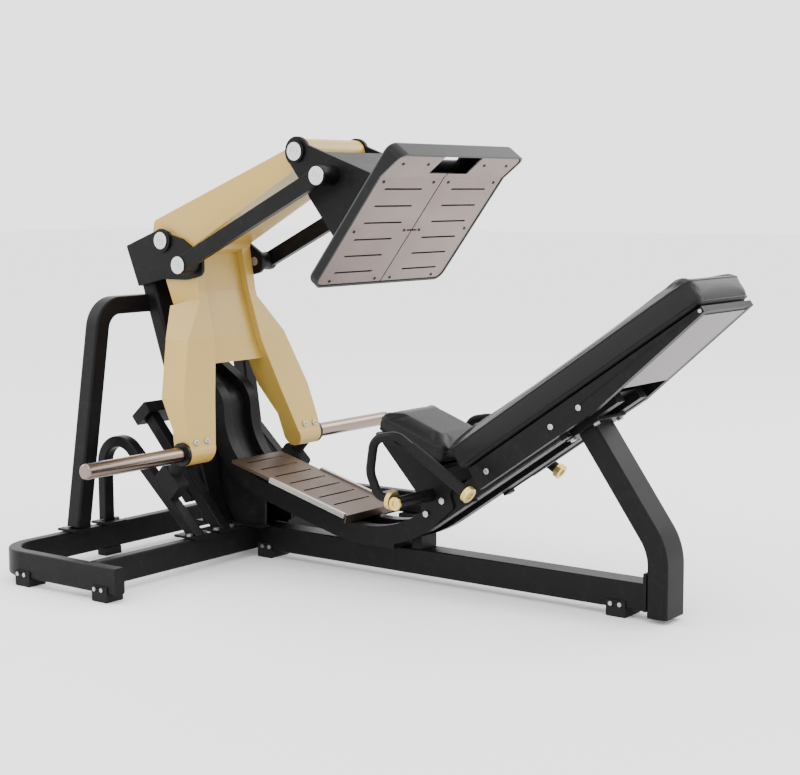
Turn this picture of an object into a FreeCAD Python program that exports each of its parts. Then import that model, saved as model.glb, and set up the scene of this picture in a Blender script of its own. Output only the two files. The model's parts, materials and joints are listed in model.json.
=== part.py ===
import FreeCAD, Part
import math
import os

# Plate-loaded leg press, built from its real pieces.  Units are mm.
# x runs from the tower (-x) to the head end of the back pad (+x), y is across, z is up.
# The floor is z = 0.  The drawing is moved by MID_X as it is written out, so that x = 0 is
# the middle of the machine's length.

V = FreeCAD.Vector
MID_X = 57.01                 # the drawing's x at the middle of the machine's length
os.makedirs("parts", exist_ok=True)

# ---------------------------------------------------------------- driving sizes
# base frame
BASE_BACK_X = -985.0          # outer face of the back tube
RAIL_END_X = -435.0           # free ends of the side rails
BASE_HALF_W = 784.0           # outer face of a side rail
TUBE_W = 40.0                 # base tube width
TUBE_H = 80.0                 # base tube height
FOOT_H = 26.0                 # rubber foot height
LOOP_BEND_R = 110.0           # centreline radius of the loop's corners
CROSS_X = -562.0              # centreline of the cross tube
SPINE_W = 80.0
WALL = 3.0                    # tube wall
CORNER_R = 6.0                # outside corner radius of the tubes

# rear leg
LEG_X = 947.0                 # centreline of the upright part
LEG_W = 110.0
LEG_T = 64.0
LEG_LEAN = 35.4               # lean of the upper part from vertical, degrees
LEG_KNEE_Z = 207.0
LEG_BOTTOM_Z = 14.0
LEG_BEND_R = 160.0

# inclined frame and carriage
INCLINE = 34.3                # slope of the back rest, degrees
BEAM_T = 60.0                 # depth of the main beam's tubes
BEAM_TUBE_W = 40.0
BEAM_HALF_W = 85.0
PAD_FOOT = (315.0, 478.0)     # x, z of the pad top at its lower end
PAD_START_S = -24.0           # lower end of the back pad, along the slope
PAD_LENGTH = 932.0
PAD_TOP_N = -2.0
PAD_T = 102.0
BOARD_T = 15.0                # seat board
PAD_HALF_W = 165.0

# pivots (x, z)
LEVER_PIVOT = (-841.0, 1041.0)
LINK_OFFSET = (140.0, -75.5)  # link pivot from the lever pivot
PLATE_PIVOT = (-259.0, 1322.0)

# lever
HUB_HALF_W = 138.0            # outside of the lever's upper box
SHEET = 4.0                   # lever sheet thickness
PEG_X = -600.0
PEG_Z = 371.0
LEG_OUT_Y = 320.0             # outer face of a lever leg at the bottom
PEG_R = 24.5
PEG_TIP_Y = 742.0
PEG_SPIGOT_R = 21.0           # the part of a peg inside the lever leg

# fits
SIDE_GAP = 3.0                # side play between hub, plates and bars
PIN_R = 15.0
PIN_FIT = 0.05                # radial running fit of the pivot pins
REST_GAP = 0.5                # leg to bumper at rest
BOLT_CLEAR = 0.3              # radial clearance of the bolt holes
SLIDE_FIT = 0.05              # play of the slide blocks on the beam

# foot plate
PLATE_ROW1 = (162.0, 1205.0)  # x, z of the top row of slots on the plate face
PLATE_ROW6 = (-27.0, 959.0)
FACE_HALF_W = 312.0           # half width of the step sheets


# ---------------------------------------------------------------- helpers
def box(x0, x1, y0, y1, z0, z1):
    return Part.makeBox(x1 - x0, y1 - y0, z1 - z0, V(x0, y0, z0))


def cyl(radius, start, axis, length):
    return Part.makeCylinder(radius, length, V(*start), V(*axis))


def cyl_y(radius, x, z, y0, y1):
    """Round bar across the machine from y0 to y1."""
    return Part.makeCylinder(radius, y1 - y0, V(x, y0, z), V(0, 1, 0))


def ring_y(r_out, r_in, x, z, y0, y1):
    return cyl_y(r_out, x, z, y0, y1).cut(cyl_y(r_in, x, z, y0 - 1, y1 + 1))


def fuse(shapes):
    out = shapes[0]
    if len(shapes) > 1:
        out = out.fuse(shapes[1:])
    return out.removeSplitter()


def cut(shape, tools):
    return shape.cut(tools)


def mirror_y(shape):
    return shape.mirror(V(0, 0, 0), V(0, 1, 0))


def both(shape):
    """The shape and its mirror image across the middle plane."""
    return [shape, mirror_y(shape)]


def rounded_wire(points, radii, closed):
    """Wire through 3D points with the given radius at each corner (0 keeps it sharp)."""
    n = len(points)
    pts = [V(*p) for p in points]
    ends = []
    for i in range(n):
        r = radii[i]
        if not closed and i in (0, n - 1):
            r = 0
        before = pts[(i - 1) % n]
        after = pts[(i + 1) % n]
        if r <= 0:
            ends.append((pts[i], None, pts[i]))
            continue
        a = (before - pts[i]).normalize()
        b = (after - pts[i]).normalize()
        half = a.getAngle(b) / 2.0
        reach = r / math.tan(half)
        bis = (a + b).normalize()
        centre = pts[i] + bis * (r / math.sin(half))
        ends.append((pts[i] + a * reach, centre - bis * r, pts[i] + b * reach))
    edges = []
    for i in range(n):
        if ends[i][1] is not None:
            edges.append(Part.Arc(ends[i][0], ends[i][1], ends[i][2]).toShape())
        if i == n - 1 and not closed:
            break
        start = ends[i][2]
        stop = ends[(i + 1) % n][0]
        if start.distanceToPoint(stop) > 1e-6:
            edges.append(Part.makeLine(start, stop))
    return Part.Wire(edges)


def slab_y(points, y0, y1, radii=None):
    """Plate across y whose outline is given as (x, z) points."""
    if radii is None:
        radii = [0] * len(points)
    wire = rounded_wire([(p[0], y0, p[1]) for p in points], radii, True)
    return Part.Face(wire).extrude(V(0, y1 - y0, 0))


def section(start, along, across, width, depth, radius):
    """Rounded rectangle at start: width runs along 'across', depth along the third direction."""
    third = along.cross(across).normalize()
    corners = []
    for a, b in ((-1, -1), (1, -1), (1, 1), (-1, 1)):
        p = start + across * (a * width / 2.0) + third * (b * depth / 2.0)
        corners.append((p.x, p.y, p.z))
    return rounded_wire(corners, [radius] * 4, True)


def sweep(points, radii, across, width, depth, radius):
    path = rounded_wire(points, radii, False)
    start = V(*points[0])
    along = (V(*points[1]) - start).normalize()
    profile = section(start, along, V(*across), width, depth, radius)
    return path.makePipeShell([profile], True, False)


def band(path, radii, half_t, y0, y1, inset=0.0):
    """Bar across y that follows a bent (x, z) path, half_t to each side of it."""
    sides = []
    side_radii = []
    last = len(path) - 1
    for sign in (1, -1):
        offsets = []
        rounds = []
        for i in range(last + 1):
            here = V(path[i][0], 0, path[i][1])
            ahead = V(path[min(i + 1, last)][0], 0, path[min(i + 1, last)][1])
            behind = V(path[max(i - 1, 0)][0], 0, path[max(i - 1, 0)][1])
            into = (here - behind).normalize() if i > 0 else (ahead - here).normalize()
            out = (ahead - here).normalize() if i < last else into
            n_in = V(-into.z, 0, into.x)
            n_out = V(-out.z, 0, out.x)
            mean = (n_in + n_out).normalize()
            place = here + mean * (sign * half_t / mean.dot(n_out))
            if i == 0:
                place = place + out * inset
            if i == last:
                place = place - into * inset
            turn = into.x * out.z - into.z * out.x
            bend = radii[i] - sign * half_t if turn > 0 else radii[i] + sign * half_t
            offsets.append((place.x, place.z))
            rounds.append(bend if 0 < i < last else 0)
        sides.append(offsets)
        side_radii.append(rounds)
    outline = sides[0] + sides[1][::-1]
    return slab_y(outline, y0, y1, side_radii[0] + side_radii[1][::-1])


def tube(points, radii, across, width, depth, wall=WALL, radius=CORNER_R, end_caps=True):
    """Rectangular tube along a bent path; its ends are closed by the wall thickness."""
    outer = sweep(points, radii, across, width, depth, radius)
    inner_points = [tuple(p) for p in points]
    if end_caps:
        inner_points[0] = shift_toward(points[0], points[1], wall)
        inner_points[-1] = shift_toward(points[-1], points[-2], wall)
    inner_r = max(radius - wall, 1.0)
    inner = sweep(inner_points, radii, across, width - 2 * wall, depth - 2 * wall, inner_r)
    return outer.cut(inner)


def shift_toward(p, q, distance):
    a = V(*p)
    step = (V(*q) - a).normalize() * distance
    moved = a + step
    return (moved.x, moved.y, moved.z)


def round_tube(points, radii, r_out, r_in):
    """Round tube (or bar when r_in is 0) along a bent path."""
    path = rounded_wire(points, radii, False)
    start = V(*points[0])
    along = (V(*points[1]) - start).normalize()
    outer = path.makePipeShell([Part.Wire(Part.makeCircle(r_out, start, along))], True, False)
    if r_in <= 0:
        return outer
    inner = path.makePipeShell([Part.Wire(Part.makeCircle(r_in, start, along))], True, False)
    return outer.cut(inner)


def hex_bolt(point, axis, size, head_h, shank_len):
    """Bolt with a hexagon head: the head starts at the point, the shank runs against the axis."""
    d = V(*axis).normalize()
    side = d.cross(V(0.3, 0.5, 0.8)).normalize()
    other = d.cross(side)
    pts = []
    for k in range(6):
        ang = math.radians(60 * k)
        q = V(*point) + side * (size * math.cos(ang)) + other * (size * math.sin(ang))
        pts.append(q)
    pts.append(pts[0])
    head = Part.Face(Part.makePolygon(pts)).extrude(d * head_h)
    start = V(*point) - d * shank_len
    shank = Part.makeCylinder(size * 0.52, shank_len + 1.0, start, d)
    return head.fuse(shank).removeSplitter()


def round_bolt(point, axis, radius, head_h, shank_r, shank_len):
    """Button-head bolt with a hexagon socket."""
    d = V(*axis).normalize()
    head = Part.makeCylinder(radius, head_h, V(*point), d)
    top = V(*point) + d * head_h
    rim = [e for e in head.Edges if abs((e.CenterOfMass - top).Length) < 0.01]
    head = head.makeFillet(head_h * 0.6, rim[:1])
    socket = Part.makeCylinder(radius * 0.42, head_h * 0.6, top - d * head_h * 0.55, d)
    head = head.cut(socket)
    start = V(*point) - d * shank_len
    shank = Part.makeCylinder(shank_r, shank_len + head_h * 0.2, start, d)
    return head.fuse(shank).removeSplitter()


NODES = {}


def export(name, shapes):
    """Keep a node's solids; they are written out at the end of the script."""
    if not isinstance(shapes, list):
        shapes = [shapes]
    solids = []
    for s in shapes:
        solids.extend(s.Solids)
    NODES[name] = solids


def drill(names, bolts):
    """Cut each bolt's clearance hole through the solids of the named nodes it passes."""
    for name in names:
        bored = []
        for solid in NODES[name]:
            near = []
            for point, axis, radius, length in bolts:
                d = V(*axis).normalize()
                hole = Part.makeCylinder(radius + BOLT_CLEAR, length + 1.0, V(*point) - d * length, d)
                if hole.BoundBox.intersect(solid.BoundBox):
                    near.append(hole)
            bored.append(solid.cut(near) if near else solid)
        export(name, bored)


# ---------------------------------------------------------------- places worked out once
RAIL_Y = BASE_HALF_W - TUBE_W / 2
BASE_TOP = FOOT_H + TUBE_H
BASE_MID = FOOT_H + TUBE_H / 2
INNER_Y = BASE_HALF_W - TUBE_W
INC = math.radians(INCLINE)
LEVER_X, LEVER_Z = LEVER_PIVOT
LINK_X = LEVER_X + LINK_OFFSET[0]
LINK_Z = LEVER_Z + LINK_OFFSET[1]
ARM_X, ARM_Z = PLATE_PIVOT
SWING_X = ARM_X + LINK_OFFSET[0]
SWING_Z = ARM_Z + LINK_OFFSET[1]
PLATE_IN_Y = HUB_HALF_W + SIDE_GAP        # inner face of the head plates and cheeks
CHEEK_T = 12.0
PLATE_OUT_Y = PLATE_IN_Y + CHEEK_T
BOSS_T = 8.0
LINK_IN_Y = 200.0
LINK_T = 24.0
LINK_OUT_Y = LINK_IN_Y + LINK_T
CAP_R = 28.0
CAP_T = 4.0


def inc(s, n):
    """x, z of a point s up the slope and n above the pad's top face."""
    x = PAD_FOOT[0] + s * math.cos(INC) - n * math.sin(INC)
    z = PAD_FOOT[1] + s * math.sin(INC) + n * math.cos(INC)
    return (x, z)


def inc_slab(s0, s1, n0, n1, y0, y1, radius=0):
    pts = [inc(s0, n0), inc(s1, n0), inc(s1, n1), inc(s0, n1)]
    return slab_y(pts, y0, y1, [radius] * 4)


INC_AXIS = (math.cos(INC), 0, math.sin(INC))
INC_UP = (-math.sin(INC), 0, math.cos(INC))

# ---------------------------------------------------------------- base frame
base_loop = tube(
    [(RAIL_END_X, -RAIL_Y, BASE_MID), (BASE_BACK_X + TUBE_W / 2, -RAIL_Y, BASE_MID),
     (BASE_BACK_X + TUBE_W / 2, RAIL_Y, BASE_MID), (RAIL_END_X, RAIL_Y, BASE_MID)],
    [0, LOOP_BEND_R, LOOP_BEND_R, 0], (0, 1, 0), TUBE_W, TUBE_H)
export("base_loop", base_loop)

cross_tube = tube([(CROSS_X, -INNER_Y, BASE_MID), (CROSS_X, INNER_Y, BASE_MID)], [0, 0],
                  (1, 0, 0), TUBE_W, TUBE_H)
export("cross_tube", cross_tube)

FLANGE_T = 10.0
SPINE_START = CROSS_X + TUBE_W / 2
SPINE_END = LEG_X - LEG_T / 2 - FLANGE_T
spine = tube([(SPINE_START, 0, BASE_MID), (SPINE_END, 0, BASE_MID)], [0, 0], (0, 1, 0),
             SPINE_W, TUBE_H)
export("spine_tube", spine)
spine_flange = box(SPINE_END, SPINE_END + FLANGE_T, -LEG_W / 2, LEG_W / 2, FOOT_H + 4, BASE_TOP + 34)

STUB_END = -732.0
stub = tube([(CROSS_X - TUBE_W / 2, 0, BASE_MID), (STUB_END, 0, BASE_MID)], [0, 0], (0, 1, 0),
            SPINE_W, TUBE_H)
export("tower_stub", stub)

# rear leg, square to the slope at its top
FLANGE_TOP_N = -178.0
BEAM_MID_N = FLANGE_TOP_N + BEAM_T / 2
lean = math.radians(LEG_LEAN)
LEG_DIR = (-math.sin(lean), math.cos(lean))
flange_low_n = FLANGE_TOP_N - FLANGE_T
knee_n = ((LEG_X - PAD_FOOT[0]) * INC_UP[0] + (LEG_KNEE_Z - PAD_FOOT[1]) * INC_UP[2])
step_n = LEG_DIR[0] * INC_UP[0] + LEG_DIR[1] * INC_UP[2]
leg_run = (flange_low_n - knee_n) / step_n
LEG_TOP = (LEG_X + LEG_DIR[0] * leg_run, LEG_KNEE_Z + LEG_DIR[1] * leg_run)
rear_leg = tube([(LEG_X, 0, LEG_BOTTOM_Z), (LEG_X, 0, LEG_KNEE_Z), (LEG_TOP[0], 0, LEG_TOP[1])],
                [0, LEG_BEND_R, 0], (0, 1, 0), LEG_W, LEG_T, radius=10.0)
flange_s = ((LEG_TOP[0] - PAD_FOOT[0]) * INC_AXIS[0] + (LEG_TOP[1] - PAD_FOOT[1]) * INC_AXIS[2])
over = inc_slab(flange_s - 80, flange_s + 80, flange_low_n, flange_low_n + 40, -90, 90)
export("rear_leg", cut(rear_leg, [over]))
leg_flange = inc_slab(flange_s - 62, flange_s + 62, flange_low_n, FLANGE_TOP_N, -82, 82)
export("leg_plates", [spine_flange, leg_flange])

# ---------------------------------------------------------------- tower
TOWER_HALF_W = 130.0
TOWER_T = 60.0
TOWER_SLOPE = 0.335           # forward lean, x per z going down
TOWER_TOP_X = -936.4          # centre line at the reference height
TOWER_REF_Z = 889.0
BASE_PLATE_T = 8.0


def tower_x(z, offset):
    lean_len = math.sqrt(1 + TOWER_SLOPE * TOWER_SLOPE)
    return TOWER_TOP_X + (TOWER_REF_Z - z) * TOWER_SLOPE + offset * lean_len


def tower_slab(z0, z1, half_t, half_w, radius):
    pts = [(tower_x(z0, -half_t), z0), (tower_x(z0, half_t), z0),
           (tower_x(z1, half_t), z1), (tower_x(z1, -half_t), z1)]
    slab = slab_y(pts, -half_w, half_w)
    if radius <= 0:
        return slab
    long_edges = []
    for e in slab.Edges:
        d = e.Vertexes[1].Point - e.Vertexes[0].Point
        if abs(d.z) > 1 and abs(d.y) < 1:
            long_edges.append(e)
    return slab.makeFillet(radius, long_edges)


tower_foot_z = BASE_TOP + BASE_PLATE_T
tower_outer = tower_slab(tower_foot_z, 960.0, TOWER_T / 2, TOWER_HALF_W, 12.0)
tower_inner = tower_slab(tower_foot_z + 4, 956.0, TOWER_T / 2 - 4, TOWER_HALF_W - 4, 8.0)
HEAD = [(-1011, 1021), (-933, 1051), (-915, 902), (-957, 887)]
head_outer = slab_y(HEAD, -PLATE_IN_Y, PLATE_IN_Y)
head_core = slab_y([(-1000, 1014), (-943, 1036), (-925, 912), (-951, 899)],
                   -PLATE_IN_Y + 8, PLATE_IN_Y - 8)
tower = cut(cut(tower_outer, [tower_inner]), [head_outer])
tower = max(tower.Solids, key=lambda s: s.Volume)
export("tower", tower)
export("head_block", cut(head_outer, [head_core]))
foot_mid = tower_x(tower_foot_z, 0)
tower_base = box(foot_mid - 58, foot_mid + 58, -TOWER_HALF_W, TOWER_HALF_W, BASE_TOP, tower_foot_z)

HEAD_PLATE = [(-1011, 1021), (-867, 1074), (-757, 1048), (-664, 990), (-664, 930), (-738, 914),
              (-843, 914), (-957, 887)]
PIN_A_R = 20.0
plate = slab_y(HEAD_PLATE, PLATE_IN_Y, PLATE_OUT_Y, [4, 30, 20, 28, 28, 20, 20, 4])
plate = cut(plate, [cyl_y(PIN_A_R, LEVER_X, LEVER_Z, PLATE_IN_Y - 5, PLATE_OUT_Y + 5),
                    cyl_y(PIN_R, LINK_X, LINK_Z, PLATE_IN_Y - 5, PLATE_OUT_Y + 5)])
export("head_plates", both(plate))

RING_R = 39.0
SHAFT_END_Y = PLATE_OUT_Y + BOSS_T
lever_shaft = cyl_y(PIN_A_R, LEVER_X, LEVER_Z, -SHAFT_END_Y, SHAFT_END_Y)
ring = ring_y(RING_R, PIN_A_R, LEVER_X, LEVER_Z, PLATE_OUT_Y, SHAFT_END_Y)
STUB_R = 30.0
PIN_END_Y = LINK_OUT_Y + 1.0
# stops the link's stub short of the bar so that the bar turns freely
link_stub = ring_y(STUB_R, PIN_R, LINK_X, LINK_Z, PLATE_OUT_Y, LINK_IN_Y - 1.0)
export("head_bosses", both(ring) + both(link_stub))
link_pin = cyl_y(PIN_R, LINK_X, LINK_Z, PLATE_IN_Y, PIN_END_Y)
export("head_pins", [lever_shaft] + both(link_pin))


def cap(x, z, y0):
    """Turned cap with a raised rim and a centre dimple."""
    disc = cyl_y(CAP_R, x, z, y0, y0 + CAP_T)
    groove = ring_y(CAP_R * 0.52, CAP_R * 0.42, x, z, y0 + CAP_T - 1.5, y0 + CAP_T)
    dimple = cyl_y(4.0, x, z, y0 + CAP_T - 3.0, y0 + CAP_T)
    return cut(disc, [groove, dimple])


export("head_caps", both(cap(LEVER_X, LEVER_Z, SHAFT_END_Y)) + both(cap(LINK_X, LINK_Z, PIN_END_Y)))

# ---------------------------------------------------------------- rear hoop
HOOP_X = -960.0
HOOP_W = 58.0
HOOP_FOOT_Y = 443.0
HOOP_TOP_Y = 329.0
HOOP_TOP_Z = 830.0
HOOP_BEND_R = 80.0
hoop = tube([(HOOP_X, -HOOP_FOOT_Y, tower_foot_z), (HOOP_X, -HOOP_TOP_Y, HOOP_TOP_Z),
             (HOOP_X, HOOP_TOP_Y, HOOP_TOP_Z), (HOOP_X, HOOP_FOOT_Y, tower_foot_z)],
            [0, HOOP_BEND_R, HOOP_BEND_R, 0], (1, 0, 0), HOOP_W, HOOP_W, radius=8.0)
below = box(HOOP_X - 60, HOOP_X + 60, -600, 600, BASE_TOP - 40, tower_foot_z)
hoop = cut(hoop, [tower_outer, below])
export("rear_hoop", hoop.Solids)
hoop_flange = box(HOOP_X - 44, HOOP_X + 44, HOOP_FOOT_Y - 52, HOOP_FOOT_Y + 52, BASE_TOP, tower_foot_z)

# ---------------------------------------------------------------- stop arches and posts
ARCH_Y = 305.0
ARCH_W = 40.0                 # across y
ARCH_T = 36.0                 # in its own plane
ARCH_LEG_X = -975.0
ARCH_FOOT_X = -568.0
ARCH_BEND_R = 80.0
ARCH_SLOPE = math.radians(42.7)
ARCH_DIR = (math.cos(ARCH_SLOPE), -math.sin(ARCH_SLOPE))
arch_rise = (ARCH_FOOT_X - ARCH_LEG_X) / ARCH_DIR[0] * -ARCH_DIR[1]
ARCH_CORNER_Z = tower_foot_z + arch_rise
arch = tube([(ARCH_LEG_X, -ARCH_Y, tower_foot_z), (ARCH_LEG_X, -ARCH_Y, ARCH_CORNER_Z),
             (ARCH_FOOT_X + ARCH_DIR[0] * 30, -ARCH_Y, tower_foot_z + ARCH_DIR[1] * 30)],
            [0, ARCH_BEND_R, 0], (0, 1, 0), ARCH_W, ARCH_T, radius=5.0)
arch = cut(arch, [box(-900, -400, -400, -200, BASE_TOP - 60, tower_foot_z)])
export("stop_arches", both(arch))
arch_pad_a = box(ARCH_LEG_X - 30, ARCH_LEG_X + 50, ARCH_Y - 42, ARCH_Y + 42, BASE_TOP, tower_foot_z)
arch_pad_b = box(ARCH_FOOT_X - 55, ARCH_FOOT_X + 45, ARCH_Y - 42, ARCH_Y + 42, BASE_TOP, tower_foot_z)

# rubber bumpers lie on the upper side of the arch and carry a round buffer each
ARCH_N = (-ARCH_DIR[1], ARCH_DIR[0])


def on_arch(along, normal):
    """x, z measured up the arch's slope from its foot and out from its centre line."""
    x = ARCH_FOOT_X - ARCH_DIR[0] * along + ARCH_N[0] * normal
    z = tower_foot_z - ARCH_DIR[1] * along + ARCH_N[1] * normal
    return (x, z)


peg_rel = (PEG_X - ARCH_FOOT_X, PEG_Z - tower_foot_z)
PEG_ALONG = -(peg_rel[0] * ARCH_DIR[0] + peg_rel[1] * ARCH_DIR[1])
PEG_OUT = peg_rel[0] * ARCH_N[0] + peg_rel[1] * ARCH_N[1]
LEG_END_R = 38.0
BUMPER_TOP = 82.0
bumper_pts = [on_arch(PEG_ALONG - 62, ARCH_T / 2), on_arch(PEG_ALONG - 62, BUMPER_TOP),
              on_arch(PEG_ALONG + 34, BUMPER_TOP), on_arch(PEG_ALONG + 34, ARCH_T / 2)]
bumper = slab_y(bumper_pts, ARCH_Y - 25, ARCH_Y + 23, [0, 12, 12, 0])
buffer_start = on_arch(PEG_ALONG, BUMPER_TOP)
buffer_len = PEG_OUT - LEG_END_R - REST_GAP - BUMPER_TOP
buffer = cyl(22.0, (buffer_start[0], ARCH_Y, buffer_start[1]), (ARCH_N[0], 0, ARCH_N[1]), buffer_len)
buffer = buffer.makeFillet(4.0, [e for e in buffer.Edges if e.Closed][:1])
export("rest_bumpers", both(bumper) + both(buffer))

POST_Y = 180.0
POST_W = 40.0
POST_FOOT_X = -574.0
POST_SLOPE = math.radians(48.2)
POST_DIR = (-math.cos(POST_SLOPE), math.sin(POST_SLOPE))
POST_LEN = 455.0
post_top = (POST_FOOT_X + POST_DIR[0] * POST_LEN, tower_foot_z + POST_DIR[1] * POST_LEN)
post = tube([(POST_FOOT_X - POST_DIR[0] * 30, POST_Y, tower_foot_z - POST_DIR[1] * 30),
             (post_top[0], POST_Y, post_top[1])], [0, 0], (0, 1, 0), POST_W, POST_W, radius=4.0)
post = cut(post, [box(-800, -400, 100, 300, BASE_TOP - 60, tower_foot_z)])
head_half = 40.0
bar_half = 20.0
across = (-POST_DIR[1], POST_DIR[0])


def on_post(up, side):
    x = post_top[0] + POST_DIR[0] * up - across[0] * side
    z = post_top[1] + POST_DIR[1] * up - across[1] * side
    return (x, z)


bar_pts = [on_post(0, -head_half), on_post(0, head_half),
           on_post(2 * bar_half, head_half), on_post(2 * bar_half, -head_half)]
bar_in = [on_post(3, 3 - head_half), on_post(3, head_half - 3),
          on_post(2 * bar_half - 3, head_half - 3), on_post(2 * bar_half - 3, 3 - head_half)]
stop_bar = cut(slab_y(bar_pts, -POST_Y - 40, POST_Y + 40, [3] * 4),
               [slab_y(bar_in, -POST_Y - 37, POST_Y + 37)])
export("stop_posts", both(post))
export("stop_bar", stop_bar)
SLEEVE_DOWN = 210.0
sleeve_pts = [on_post(-SLEEVE_DOWN, -POST_W / 2), on_post(-SLEEVE_DOWN, -POST_W / 2 - 34),
              on_post(-SLEEVE_DOWN - 105, -POST_W / 2 - 34), on_post(-SLEEVE_DOWN - 105, -POST_W / 2)]
sleeve = slab_y(sleeve_pts, POST_Y - 24, POST_Y + 24, [0, 8, 8, 0])
export("post_pads", both(sleeve))
post_pad = box(POST_FOOT_X - 50, POST_FOOT_X + 40, POST_Y - 44, POST_Y + 44, BASE_TOP, tower_foot_z)
export("base_flanges", [tower_base] + both(hoop_flange) + both(arch_pad_a) + both(arch_pad_b)
       + both(post_pad))

# ---------------------------------------------------------------- main beam
RAMP_SLOPE = -0.27
RAMP_REF = (-510.0, 244.0)
beam_low = inc(0, BEAM_MID_N)
t_hit = (RAMP_REF[1] + RAMP_SLOPE * (beam_low[0] - RAMP_REF[0]) - beam_low[1])
t_hit = t_hit / (math.sin(INC) - RAMP_SLOPE * math.cos(INC))
VALLEY = inc(t_hit, BEAM_MID_N)
NECK_X = -670.0
NECK_Z = RAMP_REF[1] + RAMP_SLOPE * (NECK_X - RAMP_REF[0])
SHOULDER_Z = 525.0
BEAM_END_S = 508.0
beam_end = inc(BEAM_END_S, BEAM_MID_N)
shoulder = math.radians(58)
beam_start = (NECK_X - 230 * math.sin(shoulder), SHOULDER_Z + 230 * math.cos(shoulder))
BEAM_PATH = [beam_start, (NECK_X, SHOULDER_Z), (NECK_X, NECK_Z), VALLEY, beam_end]
BEAM_RADII = [0, 80.0, 250.0, 440.0, 0]
beam = band(BEAM_PATH, BEAM_RADII, BEAM_T / 2, BEAM_HALF_W - BEAM_TUBE_W, BEAM_HALF_W)
beam_hollow = band(BEAM_PATH, BEAM_RADII, BEAM_T / 2 - WALL, BEAM_HALF_W - BEAM_TUBE_W + WALL,
                   BEAM_HALF_W - WALL, WALL)
beam = cut(beam, [beam_hollow, tower_outer])
beam = max(beam.Solids, key=lambda s: s.Volume)
export("main_beams", both(beam))
WEB_T = 6.0
web_half = BEAM_HALF_W - BEAM_TUBE_W
web = band(BEAM_PATH, BEAM_RADII, WEB_T / 2, -web_half, web_half)
web = cut(web, [tower_outer])
export("beam_web", max(web.Solids, key=lambda s: s.Volume))

# saddle that carries the beam on the spine, and gussets that carry it on the cross tube
SADDLE_X0 = -70.0
SADDLE_X1 = 60.0
valley_probe = band(BEAM_PATH, BEAM_RADII, BEAM_T / 2, -BEAM_HALF_W, BEAM_HALF_W)
saddle = box(SADDLE_X0, SADDLE_X1, -BEAM_HALF_W, BEAM_HALF_W, BASE_TOP, BASE_TOP + 16)
saddle = cut(saddle, [valley_probe])
gusset_pts = [(-612, tower_foot_z), (-480, tower_foot_z), (-480, 330), (-668, 330), (-668, 190)]
gusset = slab_y(gusset_pts, web_half + 16, web_half + 24)
gusset = cut(gusset, [valley_probe, tower_outer])
gusset = [s for s in gusset.Solids if s.BoundBox.ZMin < tower_foot_z + 1]
gusset_foot = box(-612, -480, web_half + 2, BEAM_HALF_W, BASE_TOP, tower_foot_z)
prop = cut(box(96, 132, -SPINE_W / 2, SPINE_W / 2, BASE_TOP, BASE_TOP + 80), [valley_probe])
prop = min(prop.Solids, key=lambda s: s.BoundBox.ZMin)
export("beam_supports", saddle.Solids + both(fuse([gusset[0], gusset_foot])) + [prop])

# ---------------------------------------------------------------- step plate on the ramp
STEP_T = 5.0
STEP_RISE = 35.0              # step plate top above the beam top
STEP_HALF_W = 122.0
RAMP = math.atan(RAMP_SLOPE)


def on_ramp(s, n):
    """x, z measured down the ramp from the reference point and up from the beam's centre line."""
    x = RAMP_REF[0] + s * math.cos(RAMP) - n * math.sin(RAMP)
    z = RAMP_REF[1] + s * math.sin(RAMP) + n * math.cos(RAMP)
    return (x, z)


def ramp_slab(s0, s1, n0, n1, y0, y1):
    return slab_y([on_ramp(s0, n0), on_ramp(s1, n0), on_ramp(s1, n1), on_ramp(s0, n1)], y0, y1)


step_top_n = BEAM_T / 2 + STEP_RISE
STEP_S0 = -84.0
STEP_S1 = 412.0
probe_wide = band(BEAM_PATH, BEAM_RADII, BEAM_T / 2 + 1.5, -BEAM_HALF_W - 2, BEAM_HALF_W + 2)
step_plate = ramp_slab(STEP_S0, STEP_S1, step_top_n - STEP_T, step_top_n, -STEP_HALF_W, STEP_HALF_W)
step_lip = ramp_slab(STEP_S1 - STEP_T, STEP_S1, step_top_n - 26, step_top_n, -STEP_HALF_W, STEP_HALF_W)
SKIRT_H = 10.0
skirt = ramp_slab(STEP_S0, STEP_S1, step_top_n - SKIRT_H, step_top_n, STEP_HALF_W - STEP_T, STEP_HALF_W)
slots = []
SLOT_COUNT = 7
SLOT_PITCH = 63.0
SLOT_S0 = -50.0
STEP_SLOT_W = 7.0
STEP_SLOT_HALF = 89.0
for k in range(SLOT_COUNT):
    s0 = SLOT_S0 + k * SLOT_PITCH
    slots.append(ramp_slab(s0, s0 + STEP_SLOT_W, step_top_n - 12, step_top_n + 2,
                           -STEP_SLOT_HALF, STEP_SLOT_HALF))
step_plate = fuse([step_plate, step_lip] + both(skirt))
export("step_plate", cut(step_plate, slots + [probe_wide]))
riser = ramp_slab(40, 400, BEAM_T / 2, step_top_n - STEP_T, BEAM_HALF_W - 32, BEAM_HALF_W - 8)
export("step_risers", both(cut(riser, [valley_probe])))
rail = ramp_slab(92, 408, step_top_n - 10, step_top_n + 6, STEP_HALF_W, STEP_HALF_W + 12)
export("step_rails", both(rail))

# ---------------------------------------------------------------- seat
SEAT_FRONT = (46.0, 546.0)    # x, z of the seat pad's top front edge
SEAT_TILT = math.radians(20)
SEAT_LEN = 260.0
SEAT_T = 75.0
SEAT_HALF_W = 138.0


def on_seat(s, n):
    x = SEAT_FRONT[0] + s * math.cos(SEAT_TILT) + n * math.sin(SEAT_TILT)
    z = SEAT_FRONT[1] - s * math.sin(SEAT_TILT) + n * math.cos(SEAT_TILT)
    return (x, z)


def pad_slab(points, half_w, radius):
    slab = slab_y(points, -half_w, half_w)
    return slab.makeFillet(radius, slab.Edges)


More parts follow.
